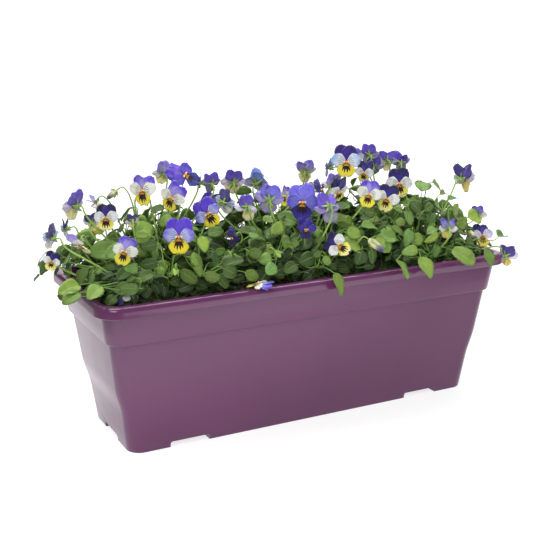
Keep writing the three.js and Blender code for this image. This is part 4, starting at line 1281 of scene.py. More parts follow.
# A bud's rolled petals. Those of a larger bud are longer from the third row on.
ROLLED = RoundPart(((0, 0, -1.8, 0.9), (0, 0, 0, 1.9), (0.3, 0, 3.0, 2.6), (0.5, 0.3, 6.0, 2.5),
                    (0.2, 0.4, 8.8, 1.9), (0, 0, 10.6, 0.4)), 10)


@dataclass(frozen=True)
class Petal:
    """One petal: its angle from straight up, size, lean, place in the stack and outline."""

    angle: float
    length: float
    width: float
    lean: float
    level: float
    marking: Marking
    shoulder: float
    notch: float = 0.0
    bowl: float = 0.6
    mesh: tuple[int, int] = (11, 13)

    def surface(self, draw: int, folded: float) -> Array:
        """The petal's front face in the flower's own frame.

        Args:
            draw: Number of the petal, for its random draws.
            folded: How far it is curled and twisted, from 0 to 1.

        Returns:
            Points, rows out from the throat by columns across.
        """
        rows, columns = self.mesh
        a = np.linspace(-1, 1, columns)[None, :]
        r = np.linspace(0.06, 1, rows)[:, None]
        sway = math.radians(self.angle + (9 + 40 * folded) * (chance(draw, 70) - 0.5))
        stretch = mix(0.93, 1.06, chance(draw, 77))
        notch = self.notch * np.exp(-((a / 0.24) ** 2))
        ripple = 0.022 * np.sin((4.2 + chance(draw, 78)) * math.pi * a + TAU * chance(draw, 71))
        shoulder = self.shoulder + 0.3 * folded * chance(draw, 60)
        sharpness = 2.6 - 1.4 * folded * chance(draw, 61)
        reach = self.length * stretch * (1 - shoulder * np.abs(a) ** sharpness - notch + ripple)
        swell = np.sin(math.pi / 2 * np.clip(r / 0.74, 0, 1)) ** 0.85
        narrow = 1 - 0.35 * folded * chance(draw, 79)
        half = self.width / 2 * narrow * swell * (1 - 0.2 * smoothstep(r, 0.72, 1.0))
        twist = 1.1 * folded * (chance(draw, 62) - 0.5)
        curl = 1 + 3.5 * folded * (chance(draw, 63) - 0.25)
        lean = self.lean + (0.08 + 0.9 * folded) * (chance(draw, 75) - 0.5)
        x = a * half
        y = reach * r * (1 - 0.3 * lean**2 * r)
        ruffle = (0.45 + 0.55 * chance(draw, 72)) * r**3
        wave = ruffle * np.sin((2.2 + chance(draw, 73)) * math.pi * a + TAU * chance(draw, 74))
        bowl = self.bowl * curl * np.abs(a) ** 2 * r
        crease = -0.35 * (1 + 2 * folded) * np.exp(-((a / 0.16) ** 2)) * r * (1 - r) * 4
        level = self.level * np.minimum(1, r * 4)
        z = level + wave + bowl + crease - lean * self.length * r**2 + twist * x * r
        return np.stack([x * math.cos(sway) - y * math.sin(sway),
                         x * math.sin(sway) + y * math.cos(sway), z], axis=-1)


PETALS = (
    Petal(25, 17.5, 16.5, 0.2, -2.0, Marking.VEINS, 0.27),
    Petal(78, 14.5, 13.5, 0.06, 0.4, Marking.WHISKERS, 0.24),
    Petal(180, 15.0, 18.5, -0.05, 1.6, Marking.BLOTCH, 0.27, 0.11, 0.2),
    Petal(282, 14.5, 13.5, 0.06, 0.8, Marking.WHISKERS, 0.24),
    Petal(335, 17.5, 16.5, 0.2, -0.7, Marking.VEINS, 0.27),
)
SKIN_OF = {
    Marking.VEINS: FlowerSkin.UPPER, Marking.WHISKERS: FlowerSkin.SIDE, Marking.BLOTCH: FlowerSkin.LIP,
}


@dataclass
class Florist:
    """Models flowers, and the calyces, stalks and buds that belong to them."""

    planting: Planting
    petal_thickness: float = 0.5
    sepal_thickness: float = 0.45
    sepal_reach: float = 8.0
    throat_back: float = 4.2
    throat_gap: float = 0.3
    sepal_back: float = 1.6
    stalk_radius: float = 0.85
    bract_reach: float = 3.4
    bract_half_width: float = 0.5
    bract_thickness: float = 0.3
    edge_room: float = 20.0
    rim_room: float = 8.0
    hook: float = 8.5
    nodding_hook: float = 9.0
    whiskers: float = 0.9
    whiskers_on_dark: float = 0.35

    def colours(self, kind: Kind, marking: Marking) -> tuple[tuple, tuple, tuple, tuple]:
        """Heart and margin colours of a petal's front, and of its back."""
        first = {Marking.VEINS: 0, Marking.WHISKERS: 2, Marking.BLOTCH: 4}[marking]
        heart, margin = (linear(code) for code in kind.value[first:first + 2])
        pale, share = (linear("#a79cf0"), 0.14) if marking is Marking.VEINS else (linear("#f4edcf"), 0.3)

        def faded(colour: tuple) -> tuple:
            """The colour as it shows through on the petal's back."""
            return tuple(mix(np.array(colour), np.array(pale), share))

        return heart, margin, faded(heart), faded(margin)

    def flower(self, draft: Draft, flower: Flower, draw: int) -> None:
        """Adds one open flower.

        Args:
            draft: The piece it belongs to.
            flower: Its place and colouring.
            draw: Its number, for the random draws.
        """
        whiskers = self.whiskers_on_dark if flower.kind.deep else self.whiskers
        for number, petal in enumerate(PETALS):
            front = flower.at(petal.surface(draw * 8 + number, flower.folded))
            heart, margin, back_heart, back_margin = self.colours(flower.kind, petal.marking)
            strength = 1.0 if petal.marking is Marking.BLOTCH else whiskers
            marks = strength * mix(0.85, 1.1, chance(draw, 76))
            rows, columns = front.shape[:2]
            inner = (rows - 2) * (columns - 2)
            # Only the front of a petal is marked.
            values = np.r_[np.full(rows * columns, marks), np.zeros(inner)]
            add_sheet(draft, front, self.petal_thickness * flower.size, SKIN_OF[petal.marking],
                      heart=(heart, back_heart), margin=(margin, back_margin), marks=values)
        EYE.add(draft, flower, flower.size, FlowerSkin.EYE)
        for tuft in BEARD:
            tuft.add(draft, flower, flower.size, FlowerSkin.BEARD)
        SPUR.add(draft, flower, flower.size, FlowerSkin.SPUR)

    def calyx(self, draft: Draft, frame_of: Flower, centre: float, reach: float, tilt: float,
              half_width: float = 0.135) -> None:
        """Adds five pointed sepals round the end of a stalk.

        Args:
            draft: The piece they belong to.
            frame_of: The flower or bud that they hold.
            centre: Where they meet, along the flower's axis.
            reach: Their length.
            tilt: How far their tips stand forward, as a share of their length.
            half_width: Half a sepal's width, as a share of its length.
        """
        along = np.linspace(0, 1, 7)[:, None]
        across = np.linspace(-1, 1, 4)[None, :]
        for number in range(5):
            draw = int(abs(frame_of.x) * 7 + abs(frame_of.z) * 3) + number
            length = reach * mix(0.75, 1.12, chance(draw, 81))
            half = half_width * reach * np.sin(math.pi * np.minimum(1, 0.2 + 0.8 * along)) ** 0.8 + 0.05
            stand = tilt + mix(-0.55, 0.35, chance(draw, 84))
            x = across * half + 0.12 * length * (chance(draw, 85) - 0.5) * along**2
            y = 0.6 + along * length * (1 - 0.3 * stand**2)
            z = centre + stand * length * along**1.5 - 0.7 * np.abs(across) * half
            turn = math.radians(72 * number + 40 * (chance(draw, 82) - 0.5))
            front = np.stack([x * math.cos(turn) - y * math.sin(turn),
                              x * math.sin(turn) + y * math.cos(turn), z], axis=-1)
            add_sheet(draft, frame_of.at(front), self.sepal_thickness, GreenSkin.STEM,
                      tone=mix(0.45, 0.9, chance(draw, 83)))

    def stalk_path(self, plant: int, top: Array, out: Array) -> Array:
        """A stalk's way from behind a calyx, over its hook and down into its clump.

        Args:
            plant: Number of the clump.
            top: Where it leaves the calyx.
            out: The way that the flower faces.

        Returns:
            The path's corners.
        """
        planting = self.planting
        lean = self.hook + self.nodding_hook * max(0.0, -out[2])
        back = -lean * unit(out * np.array([1.0, 1.0, 0.0]))
        hook = top - 4.0 * out + 0.25 * back + 2.0 * UP
        neck = top + back - 8.0 * UP
        room = np.array([planting.rim_half_length, planting.rim_half_width]) - self.edge_room
        if (np.abs(neck[:2]) > room).any():
            neck[2] = max(neck[2], planting.rim_height + self.rim_room)
        foot = planting.anchor(plant, neck - 30.0 * UP)
        return np.array([top, hook, neck, foot])

    def support(self, draft: Draft, flower: Flower, shoots: Shoots, draw: int) -> None:
        """Adds an open flower's calyx and stalk.

        Args:
            draft: The clump's green piece.
            flower: The flower.
            shoots: The clumps' leafy shoots, which the stalk springs from.
            draw: The flower's number, for the random draws.
        """
        self.calyx(draft, flower, -self.throat_back - self.throat_gap, self.sepal_reach, 0.1)
        CUP.add(draft, flower, flower.size, GreenSkin.STEM, tone=0.5)
        behind = self.throat_back + 0.8 + self.throat_gap / flower.size + self.sepal_back
        top = flower.at(np.array([0, 0, -behind]))
        plant = self.planting.nearest(flower.x, flower.y)
        corners = self.stalk_path(plant, top, flower.axes[2])
        self.stalk(draft, corners, shoots, plant, draw)

    def stalk(self, draft: Draft, corners: Array, shoots: Shoots, plant: int, draw: int) -> None:
        """Adds a stalk through its path's corners and down to a shoot, with two tiny bracts.

        Args:
            draft: The clump's green piece.
            corners: The path's corners, from the calyx down to the clump.
            shoots: The clumps' leafy shoots.
            plant: Number of the clump.
            draw: The stalk's number, for the random draws.
        """
        foot = corners[-1]
        root = shoots.nearest(plant, foot - 6 * UP)
        middle = mix(corners[2], foot, 0.5)
        bow = 3.5 * np.array([chance(draw, 84) - 0.5, chance(draw, 85) - 0.5, 0.0])
        path = softened(np.vstack([corners[:3], middle + bow, foot, root]))
        radii = self.stalk_radius * np.linspace(0.95, 1.25, len(path))
        add_tube(draft, path, radii, GreenSkin.STEM, 6, tone=mix(0.45, 0.95, chance(draw, 86)))
        at = len(path) // 2
        along = np.linspace(0, 1, 4)[:, None, None]
        across = np.linspace(-1, 1, 3)[None, :, None]
        for side in (-1, 1):
            sideways = unit(np.cross(UP, path[at + 1] - path[at])) * side
            level = unit(np.cross(sideways, UP))
            middle_line = path[at] + along * self.bract_reach * (sideways * 0.6 + UP * 0.8)
            blade = middle_line + across * level * self.bract_half_width * (1.05 - along)
            add_sheet(draft, blade, self.bract_thickness, GreenSkin.STEM, tone=0.7)


class BudKind(Enum):
    """What stands at the end of a stalk that has no open flower."""

    BUD = "bud"
    CAPSULE = "capsule"
    STAR = "star"


# Where the random draws of the buds and of the fallen petals start.
FIRST_BUD = 500
FIRST_FALLEN_PETAL = 900
# Buds, capsules and bare calyces: x, y, z, the way they face, their kind and size.
BUDS = (
    (-190, 26, 262, -100, BudKind.BUD, 1.2),
    (60, -82, 204, 55, BudKind.BUD, 1.8),
    (226, 2, 208, -60, BudKind.BUD, 1.1),
    (222, -46, 191, 20, BudKind.BUD, 1.6),
    (-101, 12, 266, 150, BudKind.STAR, 1.0),
    (-165, -75, 197, -30, BudKind.CAPSULE, 1.0),
    (-100, -70, 202, 10, BudKind.CAPSULE, 1.1),
    (-52, -76, 202, 30, BudKind.CAPSULE, 0.9),
    (135, -50, 230, -20, BudKind.STAR, 1.0),
)
# Loose petals inside the rim's left end: x, y, z, turn, nod, the petal's number, its colour.
FALLEN_PETALS = (
    (-214, -80, 173.5, -30, 40, 1, "#f2f1ea"),
    (-222, -81, 171.5, -60, 25, 0, "#2a2374"),
    (-207, -78, 171.0, 20, 55, 3, "#e9e6f2"),
)


@dataclass
class Shoots:
    """Leafy shoots that rise from each clump's crown and fan out under its leaves."""

    planting: Planting
    per_clump: int = 17
    radius: float = 1.35
    fan: tuple[float, float] = (84.0, 44.0)
    room: tuple[float, float] = (243.0, 86.0)
    depths: tuple[float, float] = (16.0, 26.0)
    crown_radius: float = 5.0
    paths: list[list[Array]] = field(default_factory=list)

    def grow(self) -> None:
        """Works out every shoot's path."""
        for plant, (cx, cy) in enumerate(self.planting.crowns):
            clump = []
            for number in range(self.per_clump):
                draw = plant * 100 + number
                angle = TAU * (number * 0.618 + 0.13 * chance(draw, 91))
                share = math.sqrt((number + 0.5) / self.per_clump)
                way = np.array([math.cos(angle), math.sin(angle)])
                x, y = np.clip((cx, cy) + share * way * self.fan, np.negative(self.room), self.room)
                z = self.planting.canopy(x, y) - mix(*self.depths, chance(draw, 92))
                top = np.array([x, y, z])
                root = np.array([*((cx, cy) + self.crown_radius * way), self.planting.soil_level - 3])
                knee = np.array([mix(cx, x, 0.55), mix(cy, y, 0.55), mix(root[2], top[2], 0.3)])
                clump.append(softened(np.array([root, knee, mix(knee, top, 0.6) + 3 * UP, top])))
            self.paths.append(clump)

    def nearest(self, plant: int, point: Array) -> Array:
        """The place on a clump's shoots that is nearest to a point."""
        points = np.vstack([path[3:] for path in self.paths[plant]])
        return points[np.argmin(np.linalg.norm(points - point, axis=1))]

    def add(self, draft: Draft, plant: int) -> None:
        """Adds a clump's shoots."""
        for number, path in enumerate(self.paths[plant]):
            radii = self.radius * np.linspace(1.25, 0.7, len(path))
            tone = mix(0.1, 0.5, chance(plant * 100 + number, 93))
            add_tube(draft, path, radii, GreenSkin.STEM, 6, tone=tone)


@dataclass(frozen=True)
class Layer:
    """A set of filling leaves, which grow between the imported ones.

    `depths` says how far below the leaf mass's surface they stand, where less than nothing
    is above it. Leaves `by_rim` stand that far below the rim instead. `apart` is the least
    distance between two leaves' middles, and `spread` is the share of the leaf mass's
    length that they take up.
    """

    name: str
    count: int
    depths: tuple[float, float]
    lengths: tuple[float, float]
    apart: float
    by_rim: bool = False
    spread: float = 0.97


FILLING = (
    Layer("outer", 165, (1.0, 14.0), (11.0, 24.0), 9.0),
    Layer("middle", 225, (14.0, 30.0), (14.0, 28.0), 9.0),
    Layer("inner", 300, (28.0, 60.0), (16.0, 32.0), 8.0),
    Layer("rim", 185, (-14.0, 14.0), (9.0, 19.0), 6.5, by_rim=True),
    Layer("crest", 70, (-20.0, -1.0), (14.0, 25.0), 9.5, spread=0.76),
)


@dataclass
class Foliage:
    """Chooses and models every leaf."""

    planting: Planting
    shoots: Shoots
    trough: Trough
    camera_place: Array
    leaves: list[Leaf] = field(default_factory=list)
    offers: int = 1200
    found_within: float = 0.1
    packed_mesh: tuple[int, int] = (13, 7)
    filling_mesh: tuple[int, int] = (8, 5)
    first_rim_leaf: int = 9000
    first_filling: int = 20000
    offers_per_layer: int = 4000
    end_share: float = 0.3
    end_places: tuple[float, float] = (196.0, 236.0)
    side_places: tuple[float, float] = (60.0, 84.0)
    filling_half_width: float = 0.93
    filling_shapes: tuple[float, float] = (0.42, 0.92)
    thickness: float = 0.55
    wall_room: float = 5.0
    soil_room: float = 6.0
    edge_band: tuple[float, float] = (30.0, 26.0)
    edge_height: float = 14.0
    flower_radius: float = 12.5
    seen_radius: float = 11.0

    def packed(self) -> None:
        """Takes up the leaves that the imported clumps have, found by their tips."""
        trees = []
        for plant in range(len(self.planting.crowns)):
            vertices = frame["nodes"][f"viola_plant_{plant + 1}"].data.vertices
            tree = kdtree.KDTree(len(vertices))
            for number, vertex in enumerate(vertices):
                tree.insert(vertex.co, number)
            tree.balance()
            trees.append(tree)
        candidates = [rim_leaf(self.planting, number, place)
                      for number, place in enumerate(RIM_LEAVES, self.first_rim_leaf)]
        candidates += [offered_leaf(self.planting, index) for index in range(self.offers)]
        for leaf in candidates:
            distance = trees[leaf.plant].find(Vector(leaf.tip(self.planting) * MM))[2]
            if distance < self.found_within * MM:
                self.leaves.append(leaf)
        LOG.info("leaves from the packed clumps: %d", len(self.leaves))

    def hides_flower(self, leaf: Leaf, flowers: list[Flower]) -> bool:
        """True if a leaf would cut through a flower or stand in front of one."""
        for flower in flowers:
            out = flower.axes[2]
            way = leaf.middle - flower.centre
            # A flower takes up the room from its spur to a little in front of its throat.
            ahead = float(np.clip(np.dot(way, out), -6, 14))
            if np.linalg.norm(way - out * ahead) < self.flower_radius * flower.size + 0.42 * leaf.length:
                return True
            sight = flower.centre - self.camera_place
            distance = float(np.linalg.norm(sight))
            sight = sight / distance
            view = leaf.middle - self.camera_place
            nearer = float(np.dot(view, sight))
            aside = np.linalg.norm(view - sight * nearer)
            if nearer < distance and aside < self.seen_radius * flower.size + 0.3 * leaf.length:
                return True
        return False

    def fill(self, flowers: list[Flower]) -> None:
        """Adds the smaller and deeper leaves that close the leaf mass."""
        first = self.first_filling
        for layer in FILLING:
            grown = 0
            for index in range(first, first + self.offers_per_layer):
                if grown == layer.count:
                    break
                leaf = self.smaller(index, layer)
                near = [np.linalg.norm(other.middle - leaf.middle) < layer.apart for other in self.leaves]
                if any(near) or self.hides_flower(leaf, flowers) or self.pokes_out(self.tilted(leaf)):
                    continue
                self.leaves.append(leaf)
                grown += 1
            first += self.offers_per_layer
            LOG.info("%s leaves: %d", layer.name, grown)

    def smaller(self, index: int, layer: Layer) -> Leaf:
        """A leaf of one of the filling layers.

        Args:
            index: The leaf's number.
            layer: Where such leaves grow and how long they are.

        Returns:
            The leaf.
        """
        leaf = offered_leaf(self.planting, index)
        x, y = leaf.middle[:2] * (layer.spread, self.filling_half_width)
        top = self.planting.canopy(x, y)
        if layer.by_rim:
            top = self.planting.rim_height
            if chance(index, 25) < self.end_share:
                x = math.copysign(mix(*self.end_places, chance(index, 24)), x)
            else:
                y = math.copysign(mix(*self.side_places, chance(index, 24)), y)
        z = top - mix(*layer.depths, chance(index, 21))
        length = mix(*layer.lengths, chance(index, 22) ** 1.5)
        width = length * mix(*self.filling_shapes, chance(index, 23))
        return replace(leaf, middle=np.array([x, y, z]), length=length, width=width)

    def pokes_out(self, leaf: Leaf) -> bool:
        """True if a leaf would stand in the soil or come through the trough's wall."""
        trough = self.trough
        x, y, z = np.moveaxis(self.blade(leaf), -1, 0)
        # How far a point is beyond the straight part of the band, towards its round corners.
        corner = trough.band_corner
        beyond_x = np.maximum(np.abs(x) - (trough.rim_half_length - trough.lip_overhang - corner), 0)
        beyond_y = np.maximum(np.abs(y) - (trough.rim_half_width - trough.lip_overhang - corner), 0)
        inside = corner - self.wall_room - trough.draft * np.maximum(trough.height - z, 0)
        through = (z < trough.height + self.wall_room) & (np.hypot(beyond_x, beyond_y) > inside)
        return leaf.middle[2] < self.planting.soil_level + self.soil_room or bool(through.any())

    def kept_inside(self, path: Array) -> Array:
        """Holds a petiole's path inside the trough's walls where it is below the rim."""
        trough = self.trough
        room = (trough.lip_overhang + 0.4 * trough.band_corner
                + trough.draft * np.maximum(trough.height - path[:, 2], 0))
        below = path[:, 2] < trough.height + 4
        for axis, half in enumerate((trough.rim_half_length, trough.rim_half_width)):
            held = np.clip(path[:, axis], room - half, half - room)
            path[:, axis] = np.where(below, held, path[:, axis])
        return path

    def tilted(self, leaf: Leaf) -> Leaf:
        """The same leaf, nodding and rolled about its foot by chance as leaves do."""
        planting = self.planting
        free = np.array([planting.rim_half_length, planting.rim_half_width]) - self.edge_band
        low = leaf.middle[2] < planting.rim_height + self.edge_height
        held = leaf.over_rim or (low and (np.abs(leaf.middle[:2]) > free).any())
        loose = 0.25 if held else 1.0
        side = unit(np.cross(leaf.normal, leaf.along))
        pitch = loose * mix(-0.4, 0.4, chance(leaf.number, 45))
        roll = leaf.roll + loose * mix(-0.7, 0.7, chance(leaf.number, 46))
        along = turned(leaf.along, side, pitch)
        normal = turned(turned(leaf.normal, side, pitch), along, roll)
        middle = leaf.foot + along * leaf.length * LEAF_FOOT
        return replace(leaf, middle=middle, along=along, normal=normal)

    def blade(self, leaf: Leaf) -> Array:
        """The upper face of a leaf's blade.

        Args:
            leaf: The leaf.

        Returns:
            Points, rows from foot to tip by columns from right to left.
        """
        number = leaf.number
        planting = self.planting
        rows, columns = self.packed_mesh if number < self.first_filling else self.filling_mesh
        v = np.linspace(0, 1, rows)[:, None]
        u = np.linspace(-1, 1, columns)[None, :]
        fullness = mix(0.68, 0.86, chance(number, 31))
        half = np.sin(math.pi * np.clip(v, 0.004, 0.996) ** fullness) ** mix(0.5, 0.66, chance(number, 32))
        teeth = 1 + 0.042 * np.where(np.arange(rows) % 2, 1, -1)[:, None] * (v > 0.1) * (v < 0.97)
        half = np.maximum(half * teeth * leaf.width / 2, 0.5)
        side = unit(np.cross(leaf.normal, leaf.along))
        arch = mix(0.1, 0.5, chance(number, 33)) if not leaf.over_rim else planting.leaf_arch
        cup = mix(-0.05, 0.28, chance(number, 34)) if not leaf.over_rim else planting.leaf_cup
        wave = 0.045 * leaf.width * np.sin(mix(2.0, 3.5, chance(number, 35)) * math.pi * v
                                           + TAU * chance(number, 36) + math.pi * (u > 0))
        lift = (cup * leaf.width * np.abs(u) ** 1.5 * (half / (leaf.width / 2))
                - arch * leaf.length * (v - planting.leaf_top) ** 2 + wave * u**2)
        twist = mix(-0.5, 0.5, chance(number, 37)) * (v - 0.3)
        sway = mix(-0.09, 0.09, chance(number, 38)) * leaf.length * (v**2)
        across = u * half
        points = (leaf.middle + leaf.along * (leaf.length * (v - 0.5))[..., None]
                  + side * (across * np.cos(twist) + sway)[..., None]
                  + leaf.normal * (lift + across * np.sin(twist))[..., None])
        return points[:, ::-1]

    def add(self, draft: Draft, leaf: Leaf) -> None:
        """Adds one leaf with its petiole; painted shade makes leaves deep in the mass darker."""
        loose = self.tilted(leaf)
        if leaf.over_rim or not self.pokes_out(loose):
            leaf = loose
        number = leaf.number
        # Painted shade: the deeper a leaf stands below the leaf mass's surface, the darker its colour;
        # leaves over the rim count as near the surface.
        depth = 4.0 if leaf.over_rim else float(self.planting.canopy(*leaf.middle[:2]) - leaf.middle[2])
        tone = mix(0.1, 1.0, chance(number, 41) ** 1.2) * (1 - 0.9 * smoothstep(depth, 2, 26))
        hue = mix(0.1, 0.95, chance(number, 42) ** 1.3)
        if leaf.over_rim:
            tone = mix(0.45, 0.8, tone)
            hue = mix(0.35, 0.85, hue)
        add_sheet(draft, self.blade(leaf), self.thickness, GreenSkin.LEAF, tone=tone, hue=hue)
        foot = leaf.foot - leaf.normal * 0.3
        if leaf.over_rim:
            root = self.planting.anchor(leaf.plant, leaf.middle - leaf.along * leaf.length * 0.75)
            path = np.array([foot + leaf.along, mix(foot, root, 0.5) + 2 * UP, root])
        else:
            root = self.shoots.nearest(leaf.plant, foot - 7 * UP - 4 * leaf.along)
            reach = float(np.linalg.norm(foot - root))
            under = foot - (leaf.along + 0.8 * leaf.normal) * min(6.0, 0.3 * reach)
            path = np.array([foot + leaf.along, under, mix(foot, root, 0.7) - 3 * UP, root])
            path = self.kept_inside(path)
        path = softened(path, 2)
        radii = np.linspace(0.5, 0.85, len(path)) * mix(0.85, 1.05, leaf.length / 36)
        add_tube(draft, path, radii, GreenSkin.STEM, 5, tone=mix(0.0, 0.4, chance(number, 43)))


# -------- studio
@dataclass(frozen=True)
class SoftLight:
    """A rectangular light that looks at the middle of the object; its sizes are in metres."""

    name: str
    place: tuple[float, float, float]
    size: tuple[float, float]
    power: float
    aim: tuple[float, float, float] = (0.0, 0.0, 0.12)

    def build(self) -> None:
        """Hangs the light."""
        lamp = bpy.data.lights.new(self.name, "AREA")
        lamp.shape = "RECTANGLE"
        lamp.size, lamp.size_y = self.size
        lamp.energy = self.power
        holder = bpy.data.objects.new(self.name, lamp)
        holder.location = self.place
        way = Vector(self.aim) - Vector(self.place)
        holder.rotation_euler = way.to_track_quat("-Z", "Y").to_euler()
        bpy.context.scene.collection.objects.link(holder)


LIGHTS = (
    SoftLight("key", (-1.3, -1.5, 1.9), (1.2, 1.2), 29.0),
    SoftLight("fill", (1.7, -1.2, 1.1), (1.6, 1.6), 2.0),
    SoftLight("top", (0.1, 0.35, 2.0), (2.4, 0.8), 38.0),
)


@dataclass(frozen=True)
class LightTable:
    """A white table that glows, whose floor curves up into a wall behind.

    The trough's glossy walls reflect its graded glow. Its sizes are in metres, from the
    middle of the trough; its own X runs to the camera's right and its Y away from it.
    """

    yaw: float
    reach: float = 2.4
    bend: float = 0.9
    bend_steps: int = 10
    wall_height: float = 3.4
    # The grey base colour of painted shade, where the table doesn't glow.
    dull: str = "#9c9c9c"
    whites: tuple[str, str] = ("#eeeeee", "#f4f4f4")
    camera_foot: float = 1.09
    least_glow: float = 0.03

    def build(self) -> None:
        """Models the table and lights it."""
        bpy.ops.mesh.primitive_plane_add(size=2 * self.reach, location=(0.0, 0.0, 0.0))
        floor = bpy.context.active_object
        floor.name = "light_table"
        bpy.ops.object.mode_set(mode="EDIT")
        bpy.ops.mesh.select_all(action="DESELECT")
        mesh = bmesh.from_edit_mesh(floor.data)
        for edge in mesh.edges:
            edge.select = all(vertex.co.y > 0 for vertex in edge.verts)
        bmesh.update_edit_mesh(floor.data)
        run = math.pi / 2 * self.bend / self.bend_steps
        for step in range(self.bend_steps):
            lean = math.pi / 2 * (step + 0.5) / self.bend_steps
            way = (0.0, run * math.cos(lean), run * math.sin(lean))
            bpy.ops.mesh.extrude_region_move(TRANSFORM_OT_translate={"value": way})
        bpy.ops.mesh.extrude_region_move(TRANSFORM_OT_translate={"value": (0.0, 0.0, self.wall_height)})
        bpy.ops.object.mode_set(mode="OBJECT")
        floor.rotation_euler.z = math.radians(-self.yaw)
        floor.data.materials.append(self.acrylic())

    def acrylic(self) -> Material:
        """Makes the lit white acrylic: white where it glows in front of the trough, and grey elsewhere,
        which paints shade where it doesn't glow.
        """
        paper = bpy.data.materials.new("lit white acrylic")
        paper.use_nodes = True
        graph = Graph(paper.node_tree)
        shader = paper.node_tree.nodes["Principled BSDF"]
        shader.inputs["Roughness"].default_value = 0.9
        place = graph.node("TexCoord").outputs["Object"]
        parts = graph.node("SeparateXYZ", {0: place}).outputs
        ahead = graph.math("MAXIMUM", graph.math("ADD", parts[1], self.camera_foot), 0.01)
        slant = graph.math("DIVIDE", parts[0], ahead)
        pool = self.pool(graph, slant, ahead)
        lit = graph.math("MAXIMUM", pool, self.strip(graph, parts[0], parts[1]))
        front = graph.ramp(parts[1], -0.3, -0.05, 1.0, 0.0)
        grain = graph.node("TexNoise", {"Vector": place, "Scale": 400.0}).outputs[0]
        white = graph.blend(grain, *map(linear, self.whites))
        # Painted shade: the base colour is grey where the table doesn't glow, and white where it glows in
        # front of the trough.
        pale = graph.blend(graph.math("MULTIPLY", front, lit), linear(self.dull), white)
        graph.feed(shader, "Base Color", pale)
        shader.inputs["Emission Color"].default_value = linear("#ffffff")
        # In front it glows a little more to the right, and behind so that the wall is white.
        aside = graph.math("MULTIPLY", front, graph.ramp(slant, 0.0, 0.4, -0.06, 0.16))
        level = graph.math("ADD", graph.ramp(parts[1], 0.5, 1.4, 0.74, 1.0), aside)
        glow = graph.math("ADD", graph.math("MULTIPLY", lit, level), self.least_glow)
        graph.feed(shader, "Emission Strength", glow)
        return paper

    @staticmethod
    def pool(graph: Graph, slant: Socket, ahead: Socket) -> Socket:
        """Where the table glows: in front of the trough and far behind it.

        It is dark at the camera's foot and at both sides, so that the trough's front keeps
        its colour and its left end reflects little.

        Args:
            graph: The material's nodes.
            slant: How far a place is to the right of the camera's way, over `ahead`.
            ahead: How far it is in front of the camera's foot.

        Returns:
            The glow, from 0 to 1.
        """
        right_end = graph.ramp(slant, 0.42, 0.62, 1.0, 0.0)
        sides = graph.math("MULTIPLY", graph.ramp(slant, -0.65, -0.32), right_end)
        wedge = graph.math("MAXIMUM", sides, graph.ramp(ahead, 1.2, 1.9))
        return graph.math("MULTIPLY", wedge, graph.ramp(ahead, 0.5, 0.64))

    def strip(self, graph: Graph, x: Socket, y: Socket) -> Socket:
        """Where a strip of the table lights the lip, from its middle to its right end.

        Args:
            graph: The material's nodes.
            x: Place on the table to the camera's right.
            y: Place on the table away from the camera.

        Returns:
            The strip's glow.
        """
        cosine = math.cos(math.radians(self.yaw))
        sine = math.sin(math.radians(self.yaw))
        # Along the trough and back from its front, which stand at an angle to the table.
        along = graph.math("ADD", graph.math("MULTIPLY", x, cosine), graph.math("MULTIPLY", y, sine))
        back = graph.math("SUBTRACT", graph.math("MULTIPLY", y, cosine), graph.math("MULTIPLY", x, sine))
        near = graph.ramp(back, -0.535, -0.505, 1.3, 0.0)
        return graph.math("MULTIPLY", near, graph.ramp(along, -0.09, 0.03))


@dataclass(frozen=True)
class Studio:
    """The camera, the soft lights and the pale floor."""

    camera_place: tuple[float, float, float] = (-0.5118, -0.9628, 0.4467)
    yaw: float = 27.42
    pitch: float = 15.18
    lens: float = 63.94
    sensor: float = 36.0
    sight: float = 30.0
    surroundings: float = 0.36

    def build(self) -> None:
        """Sets up everything that isn't part of the object."""
        camera = bpy.data.cameras.new("camera")
        camera.lens = self.lens
        camera.sensor_width = self.sensor
        camera.clip_end = self.sight
        eye = bpy.data.objects.new("camera", camera)
        eye.location = self.camera_place
        eye.rotation_euler = (math.radians(90 - self.pitch), 0.0, math.radians(-self.yaw))
        bpy.context.scene.collection.objects.link(eye)
        bpy.context.scene.camera = eye
        for light in LIGHTS:
            light.build()
        world = bpy.data.worlds.new("studio")
        world.use_nodes = True
        background = world.node_tree.nodes["Background"]
        background.inputs["Color"].default_value = linear("#ffffff")
        background.inputs["Strength"].default_value = self.surroundings
        bpy.context.scene.world = world
        bpy.context.scene.view_settings.view_transform = "Standard"
        LightTable(self.yaw).build()


# -------- assembly
def make_finishes() -> dict[str, Material]:
    """Makes every material of the object, by short name."""
    finishes: dict[str, Finish] = {
        "plastic": MouldedPlastic("moulded polypropylene", 0.15),
        "soil": PottingSoil("peat and bark", 0.95),
        "leaf": LeafSkin("viola leaf", 0.5, 1.42),
        "stem": StemSkin("viola stem", 0.45, 1.42),
        "upper": PetalSkin("upper petal", 0.6, 1.4, sheen=0.3, subsurface=0.5, marking=Marking.VEINS),
        "side": PetalSkin("side petal", 0.6, 1.4, sheen=0.15, subsurface=0.5, marking=Marking.WHISKERS),
        "lip": PetalSkin("lip petal", 0.6, 1.4, sheen=0.15, subsurface=0.5, marking=Marking.BLOTCH),
        "eye": Plain("anther cone", 0.5, colour="#f8b21e", shade="#e2840f"),
        "beard": Plain("petal beard", 0.8, colour="#fbf7e6", shade="#e9dfae"),
        "spur": Plain("spur", 0.55, colour="#8f7fc0", shade="#7c9a52"),
    }
    return {name: finish.material() for name, finish in finishes.items()}


